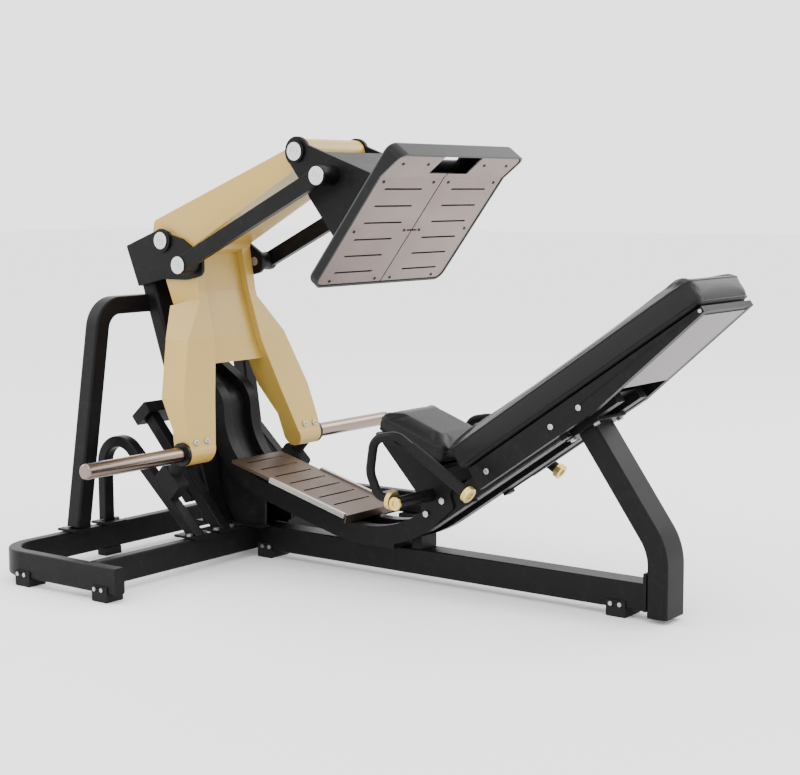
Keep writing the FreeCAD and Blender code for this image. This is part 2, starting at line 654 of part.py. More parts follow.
export("seat_pad", pad_slab([on_seat(0, 0), on_seat(SEAT_LEN, 0), on_seat(SEAT_LEN, -SEAT_T),
                             on_seat(0, -SEAT_T)], SEAT_HALF_W, 20.0))
seat_board = slab_y([on_seat(8, -SEAT_T), on_seat(SEAT_LEN - 8, -SEAT_T),
                     on_seat(SEAT_LEN - 8, -SEAT_T - BOARD_T), on_seat(8, -SEAT_T - BOARD_T)],
                    8 - SEAT_HALF_W, SEAT_HALF_W - 8)
export("seat_board", seat_board)
SEAT_PLATE_T = 8.0
seat_low = -SEAT_T - BOARD_T
seat_plate = slab_y([on_seat(14, seat_low), on_seat(14, seat_low - 22), (150, 296), (182, 218),
                     (215, 196), (290, 262), (275, 300), (296, 345), on_seat(SEAT_LEN - 14, seat_low)],
                    BEAM_HALF_W, BEAM_HALF_W + SEAT_PLATE_T, [0, 12, 40, 16, 16, 16, 10, 12, 0])
BAR_X = 205.0
BAR_Z = 292.0
BAR_R = 19.0
GRIP_Y = 249.0
seat_plate = cut(seat_plate, [cyl_y(BAR_R, BAR_X, BAR_Z, 0, 200)])
seat_tab = slab_y([on_seat(14, seat_low), on_seat(14, seat_low - 6), on_seat(SEAT_LEN - 14, seat_low - 6),
                   on_seat(SEAT_LEN - 14, seat_low)], BEAM_HALF_W - 40, BEAM_HALF_W)
export("seat_plates", both(fuse([seat_plate, seat_tab])))
seat_bolts = []
for bolt_x, bolt_z in ((249.0, 279.0), (190.0, 233.0)):
    seat_bolts.append(((bolt_x, BEAM_HALF_W + SEAT_PLATE_T, bolt_z), (0, 1, 0), 6.0, SEAT_PLATE_T + WALL + 4))

# ---------------------------------------------------------------- handles
HANDLE_R = 14.0
BAR_END_Y = GRIP_Y + HANDLE_R + 3
handle_bar = cyl_y(BAR_R, BAR_X, BAR_Z, -BAR_END_Y, BAR_END_Y)
GRIP_R = 17.0
HANDLE = [(BAR_X, BAR_Z), (126, 306), (96, 372), (112, 474), (196, 490), (440, 347)]
HANDLE_RADII = [0, 34.0, 60.0, 44.0, 60.0, 0]
loop_pts = [(p[0], GRIP_Y, p[1]) for p in HANDLE]
handle = round_tube(loop_pts, HANDLE_RADII, HANDLE_R, 0)
collar_dir = V(HANDLE[1][0] - BAR_X, 0, HANDLE[1][1] - BAR_Z).normalize()
collar_start = V(BAR_X, GRIP_Y, BAR_Z) + collar_dir * 22
COLLAR_R = 29.0
collar = Part.makeCylinder(COLLAR_R, 14, collar_start, collar_dir)
collar = cut(collar, [Part.makeCylinder(HANDLE_R, 40, V(BAR_X, GRIP_Y, BAR_Z), collar_dir)])
handle = fuse([cut(handle, [cyl_y(BAR_R, BAR_X, BAR_Z, 0, 400)])])
export("handle_loops", both(handle))
export("handle_bar", handle_bar)
grip_a = V(196, GRIP_Y, 490)
grip_b = V(440, GRIP_Y, 347)
grip_dir = (grip_b - grip_a).normalize()
grip_len = (grip_b - grip_a).Length - 62
grip = Part.makeCylinder(GRIP_R, grip_len, grip_a + grip_dir * 60, grip_dir)
grip = cut(grip, [Part.makeCylinder(HANDLE_R, grip_len + 20, grip_a + grip_dir * 50, grip_dir)])


def turned_cap(radius, thick, start, axis):
    """Knob-like cap with a groove round its rim and a hexagon recess."""
    body = Part.makeCylinder(radius, thick, start, axis)
    body = body.makeChamfer(1.5, [e for e in body.Edges if e.Closed])
    groove = Part.makeCylinder(radius + 1, 2.5, start + axis * (thick * 0.45), axis)
    core_bar = Part.makeCylinder(radius - 1.8, 2.5, start + axis * (thick * 0.45), axis)
    body = body.cut(groove.cut(core_bar))
    recess = hex_bolt((0, 0, 0), (0, 0, 1), radius * 0.5, 7.0, 1.0)
    recess = recess.common(Part.makeBox(100, 100, 20, V(-50, -50, 0)))
    turn = FreeCAD.Rotation(V(0, 0, 1), axis)
    recess.Placement = FreeCAD.Placement(start + axis * (thick - 4.0), turn)
    return body.cut(recess)


end_cap = turned_cap(COLLAR_R - 5, 18, grip_b, grip_dir)
bar_cap = turned_cap(BAR_R + 1, 10, V(BAR_X, BAR_END_Y, BAR_Z), V(0, 1, 0))
export("hand_grips", both(grip))
export("handle_caps", both(collar) + both(end_cap) + both(bar_cap))

# adjuster rods alongside the beam
ROD_Y = -105.0
ROD_R = 8.0
ROD_N = -172.0
ROD_S0 = -90.0
ROD_S1 = 342.0
rod_a = inc(ROD_S0, ROD_N)
rod = cyl(ROD_R, (rod_a[0], ROD_Y, rod_a[1]), INC_AXIS, ROD_S1 - ROD_S0)
rod_set = both(rod)
for lug_s in (ROD_S0 + 8, ROD_S1 - 32):
    lug = inc_slab(lug_s, lug_s + 24, ROD_N - 14, ROD_N + 14, ROD_Y - 12, -BEAM_HALF_W, 3)
    rod_set += both(cut(lug, [rod]))
export("adjuster_rods", rod_set)

# ---------------------------------------------------------------- feet
FOOT_LIP = 22.0
FOOT_TAB_T = 5.0


def side_foot(x0, x1):
    block = box(x0, x1, INNER_Y - 22, BASE_HALF_W + FOOT_TAB_T, 0, FOOT_H)
    block = block.makeFillet(3.0, [e for e in block.Edges if abs(e.CenterOfMass.z) < 0.1])
    tab = box(x0, x1, BASE_HALF_W, BASE_HALF_W + FOOT_TAB_T, FOOT_H - 2, FOOT_H + FOOT_LIP)
    return fuse([block, tab])


def mid_foot(x0, x1, half_w):
    block = box(x0, x1, -half_w - FOOT_TAB_T, half_w + FOOT_TAB_T, 0, FOOT_H)
    block = block.makeFillet(3.0, [e for e in block.Edges if abs(e.CenterOfMass.z) < 0.1])
    tab = box(x0, x1, half_w, half_w + FOOT_TAB_T, FOOT_H - 2, FOOT_H + FOOT_LIP)
    return fuse([block] + both(tab))


feet = both(side_foot(-528, -465)) + both(side_foot(-868, -805))
feet += [mid_foot(-536, -476, SPINE_W / 2), mid_foot(782, 844, SPINE_W / 2)]
back_foot = box(BASE_BACK_X, BASE_BACK_X + TUBE_W, 270, 340, 0, FOOT_H)
feet += both(back_foot)
export("floor_feet", feet)

# ---------------------------------------------------------------- bolts of the frame
M_R = 6.0
frame_bolts = []
for x, y in ((HOOP_X - 5, HOOP_FOOT_Y - 42), (HOOP_X - 5, HOOP_FOOT_Y + 42), (-965.0, ARCH_Y - 33),
             (-965.0, ARCH_Y + 33), (CROSS_X, ARCH_Y - 33), (CROSS_X, ARCH_Y + 33),
             (CROSS_X, POST_Y - 34), (CROSS_X, POST_Y + 34), (foot_mid - 46, 25.0),
             (foot_mid + 46, 25.0)):
    for side in (-1, 1):
        frame_bolts.append(((x, side * y, tower_foot_z), (0, 0, 1), M_R, BASE_PLATE_T + WALL + 4))
for y in (-30.0, 30.0):
    frame_bolts.append(((SPINE_END, y, BASE_TOP + 20), (-1, 0, 0), M_R, FLANGE_T + 8))
    for s in (-46.0, 46.0):
        at = inc(flange_s + s, flange_low_n)
        frame_bolts.append(((at[0], y * 66 / 30, at[1]), (-INC_UP[0], 0, -INC_UP[2]), M_R, FLANGE_T + WALL + 4))
for bolt in seat_bolts:
    frame_bolts.append(bolt)
    frame_bolts.append(((bolt[0][0], -bolt[0][1], bolt[0][2]), (0, -1, 0), bolt[2], bolt[3]))
for x in (-514.0, -484.0):
    for side in (-1, 1):
        frame_bolts.append(((x, side * (BASE_HALF_W + FOOT_TAB_T), FOOT_H + 12), (0, side, 0), 4.0, 9.0))
        frame_bolts.append(((x + 1, side * (SPINE_W / 2 + FOOT_TAB_T), FOOT_H + 12), (0, side, 0), 4.0, 9.0))
        frame_bolts.append(((x - 340, side * (BASE_HALF_W + FOOT_TAB_T), FOOT_H + 12), (0, side, 0), 4.0, 9.0))
        frame_bolts.append(((x + 1312, side * (SPINE_W / 2 + FOOT_TAB_T), FOOT_H + 12), (0, side, 0), 4.0, 9.0))
export("frame_bolts", [hex_bolt(p, d, r * 1.75, r * 1.2, n) for p, d, r, n in frame_bolts])
frame_holes = [(p, d, r * 0.91, n) for p, d, r, n in frame_bolts]
drill(["base_loop", "cross_tube", "spine_tube", "tower_stub", "base_flanges", "leg_plates", "rear_leg",
       "main_beams", "seat_plates", "floor_feet"], frame_holes)

# ---------------------------------------------------------------- lever
ARM_END_R = 40.0
ARM = [(-893, 1105), (-290, 1338), (-236, 1300), (-262, 1274), (-715, 1025), (-716, 1010),
       (-846, 917), (-875, 960), (-903, 1041)]
ARM_IN = [(-887, 1098), (-300, 1326), (-300, 1259), (-717, 1029), (-722, 1010), (-845, 923),
          (-871, 961), (-898, 1040)]
arm_outer = fuse([slab_y(ARM, -HUB_HALF_W, HUB_HALF_W, [20, 4, 4, 4, 4, 4, 4, 20, 20]),
                  cyl_y(ARM_END_R, ARM_X, ARM_Z, -HUB_HALF_W, HUB_HALF_W)])
arm_inner = slab_y(ARM_IN, SHEET - HUB_HALF_W, HUB_HALF_W - SHEET, [16, 0, 0, 0, 0, 0, 16, 16])
HUB_R = 36.0
hub_holes = [cyl_y(HUB_R, LEVER_X, LEVER_Z, -200, 200), cyl_y(HUB_R - 6, ARM_X, ARM_Z, -200, 200)]
arm = cut(arm_outer, [arm_inner] + hub_holes)
export("lever_arm", arm)
hub_a = ring_y(HUB_R, PIN_A_R + PIN_FIT, LEVER_X, LEVER_Z, -HUB_HALF_W, HUB_HALF_W)
hub_c = ring_y(HUB_R - 6, PIN_A_R + PIN_FIT, ARM_X, ARM_Z, -HUB_HALF_W, HUB_HALF_W)
export("lever_hubs", [hub_a, hub_c])

FRONT = [(-716, 1010), (-694, 873), (-653, 727), (-608, 541), (PEG_X + LEG_END_R, PEG_Z)]
BACK = [(PEG_X - LEG_END_R, PEG_Z), (-646, 443), (-707, 543), (-751, 724), (-814, 838), (-846, 917)]
FLARE_R = 216.0               # the legs stay narrow inside this radius about the pivot
LEG_LOW_Z = 320.0             # below the round ends of the legs
OUT_LINE = [(138, 1020), (138, 850), (236, 727), (306, 541), (LEG_OUT_Y, 430), (LEG_OUT_Y, LEG_LOW_Z)]
LEG_IN_Y = 226.0              # inner face of a leg at its low end
IN_LINE = [(LEG_IN_Y, LEG_LOW_Z), (112, 705), (95, 1020)]


def yz_slab(points, x0, x1):
    """Plate outlined in y and z and extruded along x."""
    pts = [V(x0, p[0], p[1]) for p in points]
    pts.append(pts[0])
    return Part.Face(Part.makePolygon(pts)).extrude(V(x1 - x0, 0, 0))


def leg_shape(inset):
    side = [(p[0] - inset, p[1]) for p in FRONT] + [(p[0] + inset, p[1]) for p in BACK]
    profile = fuse([slab_y(side, 0, 400), cyl_y(LEG_END_R - inset, PEG_X, PEG_Z, 0, 400)])
    out = [(p[0] - inset, p[1]) for p in OUT_LINE] + [(p[0] + inset, p[1]) for p in IN_LINE]
    shape = profile.common(yz_slab(out, -1000, -400))
    wide = ring_y(FLARE_R + inset, 10, LEVER_X, LEVER_Z, HUB_HALF_W - inset, 400)
    top = slab_y([(-716 + 60, 1010 + 42.9 - inset * 1.2), (-846 - 60, 917 - 42.9 - inset * 1.2),
                  (-906, 1200), (-600, 1200)], 0, 400)
    return cut(shape, [wide, top])


leg = leg_shape(0).cut(leg_shape(SHEET))
leg = max(leg.Solids, key=lambda s: s.Volume)
leg = cut(leg, [cyl_y(PEG_SPIGOT_R, PEG_X, PEG_Z, LEG_OUT_Y - 60, 400)])
export("lever_legs", both(leg))

CORE_RECESS = 26.0
CORE_LOW_Z = 640.0


def core_shape(inset):
    side = [(p[0] - CORE_RECESS - inset, p[1]) for p in FRONT[:4]]
    side += [(p[0] + 10 + inset, p[1]) for p in BACK[2:]]
    rim = [(-95 + inset, 1020), (95 - inset, 1020), (112 - inset, 705), (LEG_IN_Y - inset, LEG_LOW_Z),
           (inset - LEG_IN_Y, LEG_LOW_Z), (-112 + inset, 705)]
    shape = slab_y(side, -200, 200).common(yz_slab(rim, -1000, -400))
    low = box(-1000, -400, -300, 300, 0, CORE_LOW_Z + inset)
    top = slab_y([(-716 + 60, 1010 + 42.9 - inset * 1.2), (-846 - 60, 917 - 42.9 - inset * 1.2),
                  (-906, 1200), (-600, 1200)], -400, 400)
    return cut(shape, [low, top])


core = core_shape(0).cut(core_shape(SHEET)).cut(arm_outer)
export("lever_core", max(core.Solids, key=lambda s: s.Volume))

PEG_ROOT_Y = LEG_OUT_Y + 12
PEG_CAP_T = 11.0
peg = fuse([cyl_y(PEG_SPIGOT_R, PEG_X, PEG_Z, LEG_OUT_Y - 40, PEG_ROOT_Y),
            cyl_y(PEG_R, PEG_X, PEG_Z, PEG_ROOT_Y, PEG_TIP_Y - PEG_CAP_T)])
export("weight_pegs", both(peg))
PEG_FLANGE_R = 38.0
peg_flange = ring_y(PEG_FLANGE_R, PEG_SPIGOT_R, PEG_X, PEG_Z, LEG_OUT_Y, PEG_ROOT_Y)
export("peg_flanges", both(peg_flange))
peg_cap = cyl_y(PEG_R - 0.4, PEG_X, PEG_Z, PEG_TIP_Y - PEG_CAP_T, PEG_TIP_Y)
peg_cap = peg_cap.makeFillet(8.0, [e for e in peg_cap.Edges
                                   if e.Closed and abs(e.CenterOfMass.y - PEG_TIP_Y) < 0.1])
export("peg_caps", both(peg_cap))
lever_bolts = []
low_front, up_front = FRONT[4], FRONT[3]
front_len = math.hypot(up_front[0] - low_front[0], up_front[1] - low_front[1])
front_n = ((up_front[1] - low_front[1]) / front_len, 0, -(up_front[0] - low_front[0]) / front_len)
LEVER_BOLT_UP = 0.21          # share of the lower front edge, from its foot
bolt_at = (low_front[0] + (up_front[0] - low_front[0]) * LEVER_BOLT_UP,
           low_front[1] + (up_front[1] - low_front[1]) * LEVER_BOLT_UP)
for y in (243.0, 293.0):
    for side in (-1, 1):
        lever_bolts.append(((bolt_at[0], side * y, bolt_at[1]), front_n, 6.0, SHEET + 4))
export("lever_bolts", [round_bolt(p, d, 10.0, 6.0, r, n) for p, d, r, n in lever_bolts])
drill(["lever_legs"], lever_bolts)

# ---------------------------------------------------------------- link
BUSH_R = 21.0
LINK_END_R = 31.0
LINK_W = 50.0
link_dir = V(SWING_X - LINK_X, 0, SWING_Z - LINK_Z).normalize()
link_side = V(-link_dir.z, 0, link_dir.x) * (LINK_W / 2)
link_pts = []
for at, sign in (((LINK_X, LINK_Z), 1), ((SWING_X, SWING_Z), 1), ((SWING_X, SWING_Z), -1),
                 ((LINK_X, LINK_Z), -1)):
    link_pts.append((at[0] + sign * link_side.x, at[1] + sign * link_side.z))
link_bar = fuse([slab_y(link_pts, LINK_IN_Y, LINK_OUT_Y),
                 cyl_y(LINK_END_R, LINK_X, LINK_Z, LINK_IN_Y, LINK_OUT_Y),
                 cyl_y(LINK_END_R, SWING_X, SWING_Z, LINK_IN_Y, LINK_OUT_Y)])
link_bar = cut(link_bar, [cyl_y(BUSH_R, LINK_X, LINK_Z, 0, 400), cyl_y(BUSH_R, SWING_X, SWING_Z, 0, 400)])
export("link_bars", both(link_bar))
bush_b = ring_y(BUSH_R, PIN_R + PIN_FIT, LINK_X, LINK_Z, LINK_IN_Y, LINK_OUT_Y)
bush_d = ring_y(BUSH_R, PIN_R + PIN_FIT, SWING_X, SWING_Z, LINK_IN_Y, LINK_OUT_Y)
export("link_bushes", both(bush_b) + both(bush_d))

# ---------------------------------------------------------------- foot plate
PU = V(PLATE_ROW1[0] - PLATE_ROW6[0], 0, PLATE_ROW1[1] - PLATE_ROW6[1]).normalize()
PN = V(PU.z, 0, -PU.x)        # from the face toward the user


def on_plate(u, n):
    """x, z measured up the plate's face from the lowest row of slots and out toward the user."""
    return (PLATE_ROW6[0] + u * PU.x + n * PN.x, PLATE_ROW6[1] + u * PU.z + n * PN.z)


def plate_slab(u0, u1, n0, n1, y0, y1):
    pts = [on_plate(u0, n0), on_plate(u1, n0), on_plate(u1, n1), on_plate(u0, n1)]
    return slab_y(pts, y0, y1)


ROW_SPAN = math.hypot(PLATE_ROW1[0] - PLATE_ROW6[0], PLATE_ROW1[1] - PLATE_ROW6[1])
ROWS = 6
FACE_T = 4.0
FACE_U0 = -44.0
FOLD_U = 354.0
FACE_U1 = 445.0
FOLD_RISE = 25.0
SEAM_HALF = 2.5               # half of the gap between the two step sheets
TRAY_CORNER_R = 34.0
FACE_CORNER_R = 24.0
TRAY_T = 8.0
TRAY_GAP = 2.0                # between the sheets and the tray's rim


def fold_n(u):
    """Height of the sheets' outer face over the plate face, at u on the folded strip."""
    return FOLD_RISE * (u - FOLD_U) / (FACE_U1 - FOLD_U)


def rounded_block(u0, u1, n0, n1, half_w, radius):
    block = plate_slab(u0, u1, n0, n1, -half_w, half_w)
    corners = [e for e in block.Edges if abs(e.Length - (n1 - n0)) < 0.01]
    return block.makeFillet(radius, corners)


face_low = plate_slab(FACE_U0, FOLD_U, -FACE_T, 0, -FACE_HALF_W, FACE_HALF_W)
face_top = slab_y([on_plate(FOLD_U, -FACE_T), on_plate(FACE_U1, FOLD_RISE - FACE_T),
                   on_plate(FACE_U1, FOLD_RISE), on_plate(FOLD_U, 0)], -FACE_HALF_W, FACE_HALF_W)
face_outline = rounded_block(FACE_U0, FACE_U1, -60, 60, FACE_HALF_W, FACE_CORNER_R)
face_slots = []
SLOT_IN_Y = 76.0
SLOT_OUT_Y = 258.0
SLOT_HALF = 3.0
for k in range(ROWS):
    u = ROW_SPAN * k / (ROWS - 1)
    slot = plate_slab(u - SLOT_HALF, u + SLOT_HALF, -FACE_T - 1, 12, SLOT_IN_Y, SLOT_OUT_Y)
    face_slots += both(slot)
SCREW_MID_U = ROW_SPAN * 0.5
face_slots.append(plate_slab(SCREW_MID_U - SLOT_HALF, SCREW_MID_U + SLOT_HALF, -FACE_T - 1, 12, -26, 26))
face_slots.append(plate_slab(FACE_U0 - 1, FACE_U1 + 1, -FACE_T - 1, 40, -SEAM_HALF, SEAM_HALF))
WINDOW_HALF_W = 98.0
WINDOW_H = 74.0
grip_window = plate_slab(FACE_U1 - WINDOW_H, FACE_U1 + 2, -10, 50, -WINDOW_HALF_W, WINDOW_HALF_W)
face = cut(fuse([face_low, face_top]).common(face_outline), face_slots + [grip_window])
export("foot_sheet", face)

# tray behind the sheets, with a grip slot in its floor
TRAY_DEPTH = 36.0
TRAY_LIP = 2.0
TRAY_BACK_N = TRAY_LIP - TRAY_DEPTH
TRAY_IN = (FACE_U0 - TRAY_GAP, FACE_U1 + TRAY_GAP, FACE_HALF_W + TRAY_GAP)
TRAY_HOOD_N = 60.0            # above every part of the rim
rim_u = FACE_U1 + 20
tray_outer = rounded_block(TRAY_IN[0] - TRAY_T, TRAY_IN[1] + TRAY_T, TRAY_BACK_N, TRAY_HOOD_N,
                           TRAY_IN[2] + TRAY_T, TRAY_CORNER_R)
tray_outer = tray_outer.makeFillet(12.0, [e for e in tray_outer.Edges if abs(
    (e.CenterOfMass - V(on_plate(0, TRAY_BACK_N)[0], 0, on_plate(0, TRAY_BACK_N)[1])).dot(PN)) < 0.5])
over_rim = slab_y([on_plate(FACE_U0 - 40, TRAY_LIP), on_plate(FOLD_U, TRAY_LIP),
                   on_plate(rim_u, TRAY_LIP + fold_n(rim_u)), on_plate(rim_u, TRAY_HOOD_N + 1),
                   on_plate(FACE_U0 - 40, TRAY_HOOD_N + 1)], -400, 400)
tray_room = rounded_block(TRAY_IN[0], TRAY_IN[1], TRAY_BACK_N + TRAY_T, TRAY_HOOD_N + 1, TRAY_IN[2],
                          TRAY_CORNER_R - TRAY_T)
tray_slot = plate_slab(FACE_U1 - 50, FACE_U1 - 30, TRAY_BACK_N - 5, TRAY_BACK_N + 20, -70, 70)
export("foot_tray", cut(tray_outer, [over_rim, tray_room, tray_slot]))
rib = plate_slab(FACE_U0 + 24, FOLD_U - 6, TRAY_BACK_N + TRAY_T, -FACE_T, 276, 288)
mid_rib = plate_slab(FACE_U0, FOLD_U - 6, TRAY_BACK_N + TRAY_T, -FACE_T, 29, 47)
low_rib = plate_slab(FACE_U0, FACE_U0 + 24, TRAY_BACK_N + TRAY_T, -FACE_T, 240, 276)
pad_u0 = FACE_U1 - 46
pad_u1 = FACE_U1 - 22
strip_pads = []
for y in (145.0, 266.0):
    strip_pads += both(slab_y([on_plate(pad_u0, TRAY_BACK_N + TRAY_T), on_plate(pad_u1, TRAY_BACK_N + TRAY_T),
                               on_plate(pad_u1, fold_n(pad_u1) - FACE_T),
                               on_plate(pad_u0, fold_n(pad_u0) - FACE_T)], y - 12, y + 12))
export("tray_ribs", both(rib) + both(mid_rib) + both(low_rib) + strip_pads)

CHEEK_R = 46.0
cheek_pts = [(-243, 1351), on_plate(300, TRAY_BACK_N), on_plate(4, TRAY_BACK_N), (-213, 1186)]
cheek = fuse([slab_y(cheek_pts, PLATE_IN_Y, PLATE_OUT_Y, [10, 0, 0, 40]),
              cyl_y(CHEEK_R, ARM_X, ARM_Z, PLATE_IN_Y, PLATE_OUT_Y),
              slab_y([(ARM_X - 43, ARM_Z - 16), (-213, 1190), (-180, 1300), (-243, 1345)],
                     PLATE_IN_Y, PLATE_OUT_Y)])
cheek = cut(cheek, [cyl_y(PIN_A_R, ARM_X, ARM_Z, 0, 400), cyl_y(PIN_R, SWING_X, SWING_Z, 0, 400)])
export("plate_cheeks", both(cheek))


def between(p, q, t):
    return (p[0] + (q[0] - p[0]) * t, p[1] + (q[1] - p[1]) * t)


WEB_PLATE_T = 6.0
top_a = between(cheek_pts[0], cheek_pts[1], 0.24)
low_a = between(cheek_pts[3], cheek_pts[2], 0.16)


def cheek_web(p, q, thick):
    d = V(q[0] - p[0], 0, q[1] - p[1]).normalize()
    n = V(-d.z, 0, d.x) * thick
    return slab_y([p, q, (q[0] + n.x, q[1] + n.z), (p[0] + n.x, p[1] + n.z)], -PLATE_IN_Y, PLATE_IN_Y)


trim = plate_slab(-200, 500, TRAY_BACK_N, 200, -400, 400)
web_top = cut(cheek_web(top_a, between(cheek_pts[0], cheek_pts[1], 1.1), -WEB_PLATE_T), [trim])
web_low = cut(cheek_web(low_a, between(cheek_pts[3], cheek_pts[2], 1.1), WEB_PLATE_T), [trim])
export("plate_webs", [web_top, web_low])
plate_shaft = cyl_y(PIN_A_R, ARM_X, ARM_Z, -SHAFT_END_Y, SHAFT_END_Y)
ring_c = ring_y(RING_R - 5, PIN_A_R, ARM_X, ARM_Z, PLATE_OUT_Y, SHAFT_END_Y)
stub_d = ring_y(STUB_R, PIN_R, SWING_X, SWING_Z, PLATE_OUT_Y, LINK_IN_Y - 1.0)
export("plate_bosses", both(ring_c) + both(stub_d))
export("plate_pins", [plate_shaft] + both(cyl_y(PIN_R, SWING_X, SWING_Z, PLATE_IN_Y, PIN_END_Y)))
export("plate_caps", both(cap(ARM_X, ARM_Z, SHAFT_END_Y)) + both(cap(SWING_X, SWING_Z, PIN_END_Y)))
screws = []
normal = (PN.x, 0, PN.z)
strip_up = (PU * (FACE_U1 - FOLD_U) + PN * FOLD_RISE).normalize()
strip_normal = (strip_up.z, 0, -strip_up.x)
strip_u = (pad_u0 + pad_u1) / 2.0
for u, n, way, places in ((FACE_U0 + 12, 0, normal, (38.0, 258.0)), (SCREW_MID_U, 0, normal, (38.0, 282.0)),
                          (FOLD_U - 18, 0, normal, (38.0, 282.0)),
                          (strip_u, fold_n(strip_u), strip_normal, (145.0, 266.0))):
    at = on_plate(u, n)
    for y in places:
        for side in (-1, 1):
            screws.append(((at[0], side * y, at[1]), way, 3.0, FACE_T + 6))
export("sheet_screws", [round_bolt(p, d, 5.0, 2.5, r, n) for p, d, r, n in screws])
drill(["foot_sheet", "tray_ribs"], screws)

# ---------------------------------------------------------------- back-rest carriage
BEAM_TOP_N = BEAM_MID_N + BEAM_T / 2
CH_IN_Y = 125.0
CH_OUT_Y = 150.0
CH_S0 = 8.0
PAD_OVERHANG = 10.0           # the pad reaches this far past the channels' head end
CH_S1 = PAD_START_S + PAD_LENGTH - PAD_OVERHANG
CH_TAPER_S = 470.0            # the side channels narrow from here to the head end
CH_LOW_N = -174.0
CH_HEAD_N = -121.0
BOLT_S = (60.0, 321.0, 429.0)
BOLT_N = -141.0
PAD_LOW_N = PAD_TOP_N - PAD_T


def channel(inset):
    pts = [inc(CH_S0 + inset, PAD_LOW_N - inset), inc(CH_S0 + inset, CH_LOW_N + inset),
           inc(CH_TAPER_S, CH_LOW_N + inset), inc(CH_S1 - inset, CH_HEAD_N + inset),
           inc(CH_S1 - inset, PAD_LOW_N - inset)]
    return slab_y(pts, CH_IN_Y + inset, CH_OUT_Y - inset)


ch_outer = channel(0)
ch_inner = channel(WALL)
export("carriage_channels", both(ch_outer.cut(ch_inner)))
GLIDE_T = 6.0
deck_low = BEAM_TOP_N + GLIDE_T + SLIDE_FIT
glides = []
blocks = []
for s in BOLT_S:
    for side in (-1, 1):
        y0, y1 = sorted((side * (BEAM_HALF_W - 34), side * (BEAM_HALF_W - 6)))
        glides.append(inc_slab(s - 20, s + 20, BEAM_TOP_N + SLIDE_FIT, deck_low, y0, y1, 2))
    block = inc_slab(s - 22, s + 22, -152, deck_low, BEAM_HALF_W + SLIDE_FIT, CH_IN_Y, 3)
    blocks += both(block)
HEAD_BAR_S = CH_S1 - 18
head_bar = inc_slab(HEAD_BAR_S, CH_S1, CH_HEAD_N, PAD_LOW_N, -CH_IN_Y, CH_IN_Y)
low_bar = inc_slab(524, 556, deck_low - 30, deck_low, -CH_IN_Y, CH_IN_Y, 4)
export("carriage_crossbars", [head_bar, low_bar])
export("slide_blocks", blocks + glides)
board = inc_slab(CH_S0, HEAD_BAR_S, deck_low, PAD_LOW_N, -CH_IN_Y, CH_IN_Y)
COVER_S = 566.0               # the under-cover reaches from here to the head bar
COVER_T = 8.0


def channel_low(s):
    """Lower edge of the side channels at s on their tapered part."""
    return CH_LOW_N + (CH_HEAD_N - CH_LOW_N) * (s - CH_TAPER_S) / (CH_S1 - CH_TAPER_S)


cover = slab_y([inc(COVER_S, channel_low(COVER_S)), inc(HEAD_BAR_S, channel_low(HEAD_BAR_S)),
                inc(HEAD_BAR_S, channel_low(HEAD_BAR_S) + COVER_T),
                inc(COVER_S, channel_low(COVER_S) + COVER_T)], -CH_IN_Y, CH_IN_Y)
export("back_board", [board, cover])
pad_end_s = PAD_START_S + PAD_LENGTH
export("back_pad", pad_slab([inc(PAD_START_S, PAD_TOP_N), inc(pad_end_s, PAD_TOP_N), inc(pad_end_s, PAD_LOW_N),
                             inc(PAD_START_S, PAD_LOW_N)], PAD_HALF_W, 24.0))
carriage_bolts = []
for s in BOLT_S:
    at = inc(s, BOLT_N)
    for side in (-1, 1):
        carriage_bolts.append(((at[0], side * CH_OUT_Y, at[1]), (0, side, 0), 5.0, CH_OUT_Y - CH_IN_Y + 18))
head_at = inc(CH_S1 - 10, PAD_LOW_N - 9)
for side in (-1, 1):
    carriage_bolts.append(((head_at[0], side * CH_OUT_Y, head_at[1]), (0, side, 0), 3.0,
                           CH_OUT_Y - CH_IN_Y + 16))
for s in (600.0, CH_S1 - 58.0):
    at = inc(s, deck_low)
    for y in (-90.0, 90.0):
        carriage_bolts.append(((at[0], y, at[1]), (-INC_UP[0], 0, -INC_UP[2]), 3.0, 6.0))
export("carriage_bolts", [round_bolt(p, d, r * 1.8, r * 0.8, r, n) for p, d, r, n in carriage_bolts])
drill(["carriage_channels", "carriage_crossbars", "slide_blocks", "back_board"], carriage_bolts)

# ---------------------------------------------------------------- write the pieces
for node, solids in NODES.items():
    shape = solids[0] if len(solids) == 1 else Part.makeCompound(solids)
    shape = shape.translated(V(-MID_X, 0, 0))
    shape.exportStep("parts/" + node + ".step")
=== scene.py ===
"""Looks of a plate-loaded leg press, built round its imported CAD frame."""

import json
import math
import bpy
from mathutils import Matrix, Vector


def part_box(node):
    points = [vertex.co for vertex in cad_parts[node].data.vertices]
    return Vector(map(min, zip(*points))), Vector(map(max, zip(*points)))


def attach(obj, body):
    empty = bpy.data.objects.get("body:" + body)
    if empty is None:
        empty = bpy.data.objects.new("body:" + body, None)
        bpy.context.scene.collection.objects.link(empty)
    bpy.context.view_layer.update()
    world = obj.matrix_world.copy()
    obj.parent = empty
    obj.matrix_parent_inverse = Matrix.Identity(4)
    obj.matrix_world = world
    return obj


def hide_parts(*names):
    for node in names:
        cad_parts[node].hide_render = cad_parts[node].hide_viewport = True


bl_info = {
    "name": "Leg press finisher",
    "version": (1, 0, 0),
    "blender": (4, 5, 0),
    "location": "View3D > Sidebar > Leg press",
    "description": "Finishes, cushions, seams and studio for the leg press frame",
    "category": "Object",
}

import bmesh
import bpy
from mathutils import Matrix, Vector

